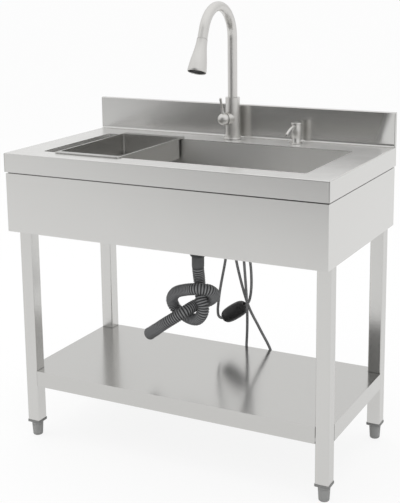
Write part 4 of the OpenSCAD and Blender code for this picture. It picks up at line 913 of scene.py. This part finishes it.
def addSprayHead(setup):
    head = joinPieces(turnRings(setup["skin"], 64), turnRings(setup["plug"], 40))
    smoothBy(head, 28)
    head.matrix_world = headFrame
    finishPiece(head, "sprayHead", "satinNickel", "spray", "spray_head")
    face = turnRings(setup["face"], 48)
    rows = []
    for count, radius in (setup["wideRow"], setup["innerRow"]):
        rows.append(copiesAround(movePiece(turnRings(setup["nozzle"], 12), radius, 0, 0), count))
    face = joinPieces(face, *rows)
    smoothBy(face, 30)
    face.matrix_world = headFrame
    finishPiece(face, "sprayFace", "blackPlastic", "spray", "spray_face")


tailSetup = {
    "low": 0.798, "neck": 1.201, "straightEnd": 1.191, "bendRadius": 0.096, "bendTurn": 158, "bendSteps": 40,
    "top": 0.029, "join": 0.026, "foot": 0.0, "tip": -0.010, "tailRings": 78, "ringGap": 0.005,
    "pull": 0.22, "radius": 0.00425, "corners": 24,
}


def onHead(z):
    # point on the spray head's axis, at a height over the joint with the spout
    return headFrame @ Vector((0, 0, z))


def addSprayHose(setup):
    # the hose inside the spout, and its tail that comes out with the spray head
    bend, radius, join = setup["bendRadius"], setup["radius"], setup["join"]
    path = [Vector((0, tapY, setup["low"])), Vector((0, tapY, setup["straightEnd"]))]
    for i in range(setup["bendSteps"] + 1):
        a = math.radians(setup["bendTurn"] * i / setup["bendSteps"])
        path.append(Vector((0, tapY - bend + bend * math.cos(a), setup["neck"] + bend * math.sin(a))))
    path.append(onHead(join))
    total = pathLength(path)
    upper = sweepThin("sprayHoseUpper", path, total, int(total / setup["ringGap"]), radius, setup["corners"])
    finishPiece(upper, "sprayHoseUpper", "braidedSleeve", "gooseneck", "spray_hose_upper")
    top, tip = setup["top"], setup["tip"]
    tail = sweepThin("sprayHoseTail", [onHead(top), onHead(tip)], top - tip, setup["tailRings"], radius,
                     setup["corners"])
    # the map grows with the pull, so that the weave is even when the head is out
    for corner in tail.data.uv_layers["hoseMap"].data:
        s = corner.uv[0]
        t = min(max((s - (top - join)) / join, 0.0), 1.0)
        corner.uv[0] = s + setup["pull"] * t * t * (3 - 2 * t)
    wear(tail, "braidedSleeve")
    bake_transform(tail)
    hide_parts("spray_hose_tail")


tapSetup = {
    "flange": [(0, 14), (0, 25.4), (0.5, 26), (4.4, 26), (5.6, 25.7), (6.5, 24.9), (7, 23.8), (7, 22.6),
               (7, 14), (0, 14)],
    "place": (0, tapY, deckTop),
}


def addTapFlange(setup):
    flange = turnRings(setup["flange"], 64, tube=True)
    smoothBy(flange, 40)
    flange.location = setup["place"]
    finishPiece(flange, "tapFlange", "satinNickel", "stand", "tap_flange")


soapX = 0.210
soapSetup = {
    "collar": [(-46, 7.8), (-46, 11.2)] + threadRings(-45.6, -3.6, 2.0, 12.0, 11.2) + [
        (-3, 11.6), (0, 11.8), (0, 18.4), (0.5, 19), (1.5, 19), (2.1, 18.6), (2.5, 17.8), (2.6, 14.6),
        (3.1, 13.4), (4.4, 12.7), (35.2, 12.7), (36, 12.0), (36, 7.8), (-46, 7.8)],
    "cap": [(946.0, 12.95), (907.4, 12.95), (907.0, 13.3), (907.0, 13.7), (907.5, 14.0), (944.6, 14.0),
            (945.4, 13.6), (947.2, 13.6), (947.8, 15.3), (948.5, 16.0), (951.4, 16.0), (952.4, 15.6),
            (953.0, 14.6), (953.0, 12.8), (952.4, 11.4), (951.9, 8.0), (951.7, 4.0)],
    "spoutRadius": 0.0041, "spoutStart": (0, -0.0125, 0.9435), "spoutCorners": 24,
    "bendRadius": 0.1193, "bendTurn": 31.9, "bendSteps": 20, "mouthShare": 0.74, "mouthDepth": 0.006,
}


def addSoapPump(setup):
    collar = turnRings(setup["collar"], 48, tube=True)
    smoothBy(collar, 30)
    collar.location = (soapX, tapY, deckTop)
    finishPiece(collar, "soapCollar", "satinNickel", "stand", "soap_collar")
    cap = turnRings(setup["cap"], 48)
    # bent spout, spun from a circle, with a rimmed mouth
    x, y, z = setup["spoutStart"]
    bend, turn = setup["bendRadius"], math.radians(setup["bendTurn"])
    spout = addUprightCircle(setup["spoutRadius"], setup["spoutCorners"], (x, y, z))
    startEdit("EDGE")
    bpy.ops.mesh.spin(steps=setup["bendSteps"], angle=-turn, center=(x, y, z - bend), axis=(1, 0, 0))
    tip = (x, y - bend * math.sin(turn), z - bend * (1 - math.cos(turn)))
    bpy.ops.mesh.extrude_region_move(TRANSFORM_OT_translate={"value": (0, 0, 0)})
    bpy.ops.transform.resize(value=[setup["mouthShare"]] * 3, center_override=tip)
    inwards = [setup["mouthDepth"] * part for part in (0, math.cos(turn), math.sin(turn))]
    bpy.ops.mesh.extrude_region_move(TRANSFORM_OT_translate={"value": inwards})
    bpy.ops.mesh.edge_face_add()
    endEdit()
    pump = joinPieces(cap, spout)
    smoothBy(pump, 35)
    pump.location = (soapX, tapY, 0)
    finishPiece(pump, "pumpHead", "satinNickel", "pump_cap", "pump_head")


springSetup = {"wire": 0.00075, "middle": 0.00475, "turns": 5, "pitch": 0.0057, "wireCorners": 12,
               "stepsPerTurn": 28, "place": (soapX, tapY, 0.860), "keep": 0.6}


def addPumpSpring(setup):
    # wire circle screwed upwards round the pump's axis
    wire = setup["wire"]
    spring = addUprightCircle(wire, setup["wireCorners"], (setup["middle"], 0, wire))
    mod = spring.modifiers.new("turns", "SCREW")
    mod.axis = "Z"
    mod.screw_offset = setup["pitch"]
    mod.iterations = setup["turns"]
    mod.steps = setup["stepsPerTurn"]
    applyModifiers(spring)
    startEdit("EDGE")
    bpy.ops.mesh.fill_holes(sides=0)
    endEdit()
    smoothBy(spring, 40)
    spring.location = setup["place"]
    finishPiece(spring, "pumpSpring", "springSteel", "stand", "pump_spring")
    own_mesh(spring)


footSetup = {
    "foot": [(0, 9.6), (0, 11.0), (0.4, 12.6), (1.6, 14.1), (3.4, 14.9), (5.6, 15.05), (6.0, 14.5),
             (7.4, 14.6), (7.8, 15.2), (20, 16.0), (35.6, 16.9), (36.0, 16.3), (37.4, 16.4),
             (37.8, 17.0), (43.3, 17.45), (44.2, 17.2), (44.7, 16.4), (44.7, 5.0)]
            + threadRings(45.0, 84.0, 1.5, 5.0, 4.5) + [(84.6, 5.0), (85.7, 4.2)],
    "plug": {"side": 0.043, "low": 0.045, "high": 0.052, "corner": 0.004, "step": 0.0009, "edge": 0.0007},
    "legs": {"front_left": (-0.470, -0.2075), "front_right": (0.470, -0.2075),
             "rear_left": (-0.470, 0.2225), "rear_right": (0.470, 0.2225)},
}


def makeLegPlug(size):
    # square plug with soft corners and a shallow step under the tube
    side, low, high = size["side"], size["low"], size["high"]
    deselectAll()
    bpy.ops.mesh.primitive_cube_add(size=1, location=(0, 0, (low + high) / 2), scale=(side, side, high - low))
    plug = bpy.context.object
    placeInMesh()

    def isUpright(edge):
        a, b = (plug.data.vertices[i].co for i in edge.vertices)
        return abs(a.z - b.z) > 0.001

    pickParts(plug, "EDGE", isUpright)
    bpy.ops.mesh.bevel(offset=size["corner"], segments=5)
    pickParts(plug, "FACE", lambda face: abs(face.normal.z) > 0.9)
    bpy.ops.mesh.inset(thickness=size["step"], depth=0.0, use_individual=True)
    bpy.ops.object.mode_set(mode="OBJECT")
    bevelEdges(plug, size["edge"], 3)
    applyModifiers(plug)
    smoothBy(plug, 35)
    return plug


def addFeet(setup):
    foot = turnRings(setup["foot"], 40)
    smoothBy(foot, 35)
    plug = makeLegPlug(setup["plug"])
    for leg, (x, y) in setup["legs"].items():
        side = leg.title().replace("_", "")
        for obj, label, mat, body, node in (
                (foot, "foot", "footPlastic", leg + "_foot", "foot_" + leg),
                (plug, "plug", "plugPlastic", "stand", "foot_plugs")):
            other = copyOf(obj)
            other.location = (x, y, 0)
            finishPiece(other, label + side, mat, body, node)
    deletePiece(foot)
    deletePiece(plug)


addSprayHead(headSetup)
addSprayHose(tailSetup)
addTapFlange(tapSetup)
addSoapPump(soapSetup)
addPumpSpring(springSetup)
addFeet(footSetup)
print("turned and moulded pieces made")


# floor, room and lamps
stageSetup = {"sideways": 60.0, "front": -4.8, "back": 90.0, "floorColour": (0.9, 0.9, 0.9), "rough": 0.9,
              "specular": 0.1, "shadowShare": 0.15, "mirrored": 0.93}


def addFloor(setup):
    # the camera and mirrors see the floor as white, with a share of its real shadows
    front, back = setup["front"], setup["back"]
    bpy.ops.mesh.primitive_plane_add(size=2.0, location=(0, (front + back) / 2, 0))
    floor = bpy.context.object
    floor.name = "floorPlane"
    floor.scale = (setup["sideways"], (back - front) / 2, 1)
    mat = bpy.data.materials.new("floorWhite")
    mat.use_nodes = True
    w = Wiring(mat.node_tree)
    shader = mat.node_tree.nodes["Principled BSDF"]
    shader.inputs["Base Color"].default_value = (*setup["floorColour"], 1)
    shader.inputs["Roughness"].default_value = setup["rough"]
    shader.inputs["Specular IOR Level"].default_value = setup["specular"]
    path = w.add("ShaderNodeLightPath").outputs
    glow = w.mix(path["Is Glossy Ray"], 1.0, setup["mirrored"])
    white = w.add("ShaderNodeEmission", {"Color": (1, 1, 1, 1), "Strength": glow})
    seen = w.math("MAXIMUM", path["Is Camera Ray"], path["Is Glossy Ray"])
    share = w.math("MULTIPLY", seen, 1 - setup["shadowShare"])
    mixed = w.add("ShaderNodeMixShader", {0: share, 1: shader.outputs[0], 2: white.outputs[0]})
    w.join(mixed.outputs[0], mat.node_tree.nodes["Material Output"].inputs["Surface"])
    floor.data.materials.append(mat)


worldSetup = {"low": 0.78, "high": 1.0, "lowAt": -0.1, "highAt": 0.9, "dark": 0.06, "leftEdge": -30.0,
              "rightEdge": 22.0, "softAngle": 12.0, "topEdge": 0.55, "softTop": 0.25}


def addWorld(setup):
    # a white room whose front side, behind the camera, is dark where metal mirrors it
    world = bpy.data.worlds.new("studio")
    scene.world = world
    world.use_nodes = True
    w = Wiring(world.node_tree)
    looks = w.split(w.add("ShaderNodeTexCoord").outputs["Generated"])
    light = w.ramp(looks[2], setup["lowAt"], setup["highAt"], setup["low"], setup["high"])
    forward = w.math("MULTIPLY", looks[1], -1.0)
    angle = w.math("MULTIPLY", w.math("ARCTAN2", looks[0], forward), 180 / math.pi)
    left, right, soft = setup["leftEdge"], setup["rightEdge"], setup["softAngle"]
    top, softTop = setup["topEdge"], setup["softTop"]
    fromLeft = w.ramp(angle, left - soft, left + soft, kind="SMOOTHSTEP")
    fromRight = w.ramp(angle, right + soft, right - soft, kind="SMOOTHSTEP")
    fromTop = w.ramp(looks[2], top + softTop, top - softTop, kind="SMOOTHSTEP")
    path = w.add("ShaderNodeLightPath").outputs
    front = w.product(fromLeft, fromRight, fromTop, path["Is Glossy Ray"])
    room = w.mix(front, light, setup["dark"])
    back = world.node_tree.nodes["Background"].inputs
    back["Color"].default_value = (1, 1, 1, 1)
    w.join(w.mix(path["Is Camera Ray"], room, 1.0), back["Strength"])


lampSetup = {
    "keyLamp": {"place": (-3.2, -1.0, 3.6), "target": (0, 0, 0.8), "side": 3.0, "power": 30},
    "topLamp": {"place": (0, 0.6, 4.2), "target": (0, 0, 0.9), "side": 4.0, "power": 30},
}


def addLamp(name, setup):
    # square soft light that no metal mirrors
    bpy.ops.object.light_add(type="AREA", location=setup["place"])
    lamp = bpy.context.object
    lamp.name = name
    lamp.data.shape = "SQUARE"
    lamp.data.size = setup["side"]
    lamp.data.energy = setup["power"]
    lamp.visible_glossy = False
    aim = Vector(setup["target"]) - Vector(setup["place"])
    lamp.rotation_euler = aim.to_track_quat("-Z", "Y").to_euler()


addFloor(stageSetup)
addWorld(worldSetup)
for name, setup in lampSetup.items():
    addLamp(name, setup)
scene.view_settings.view_transform = "Standard"
print("stage and lamps made")
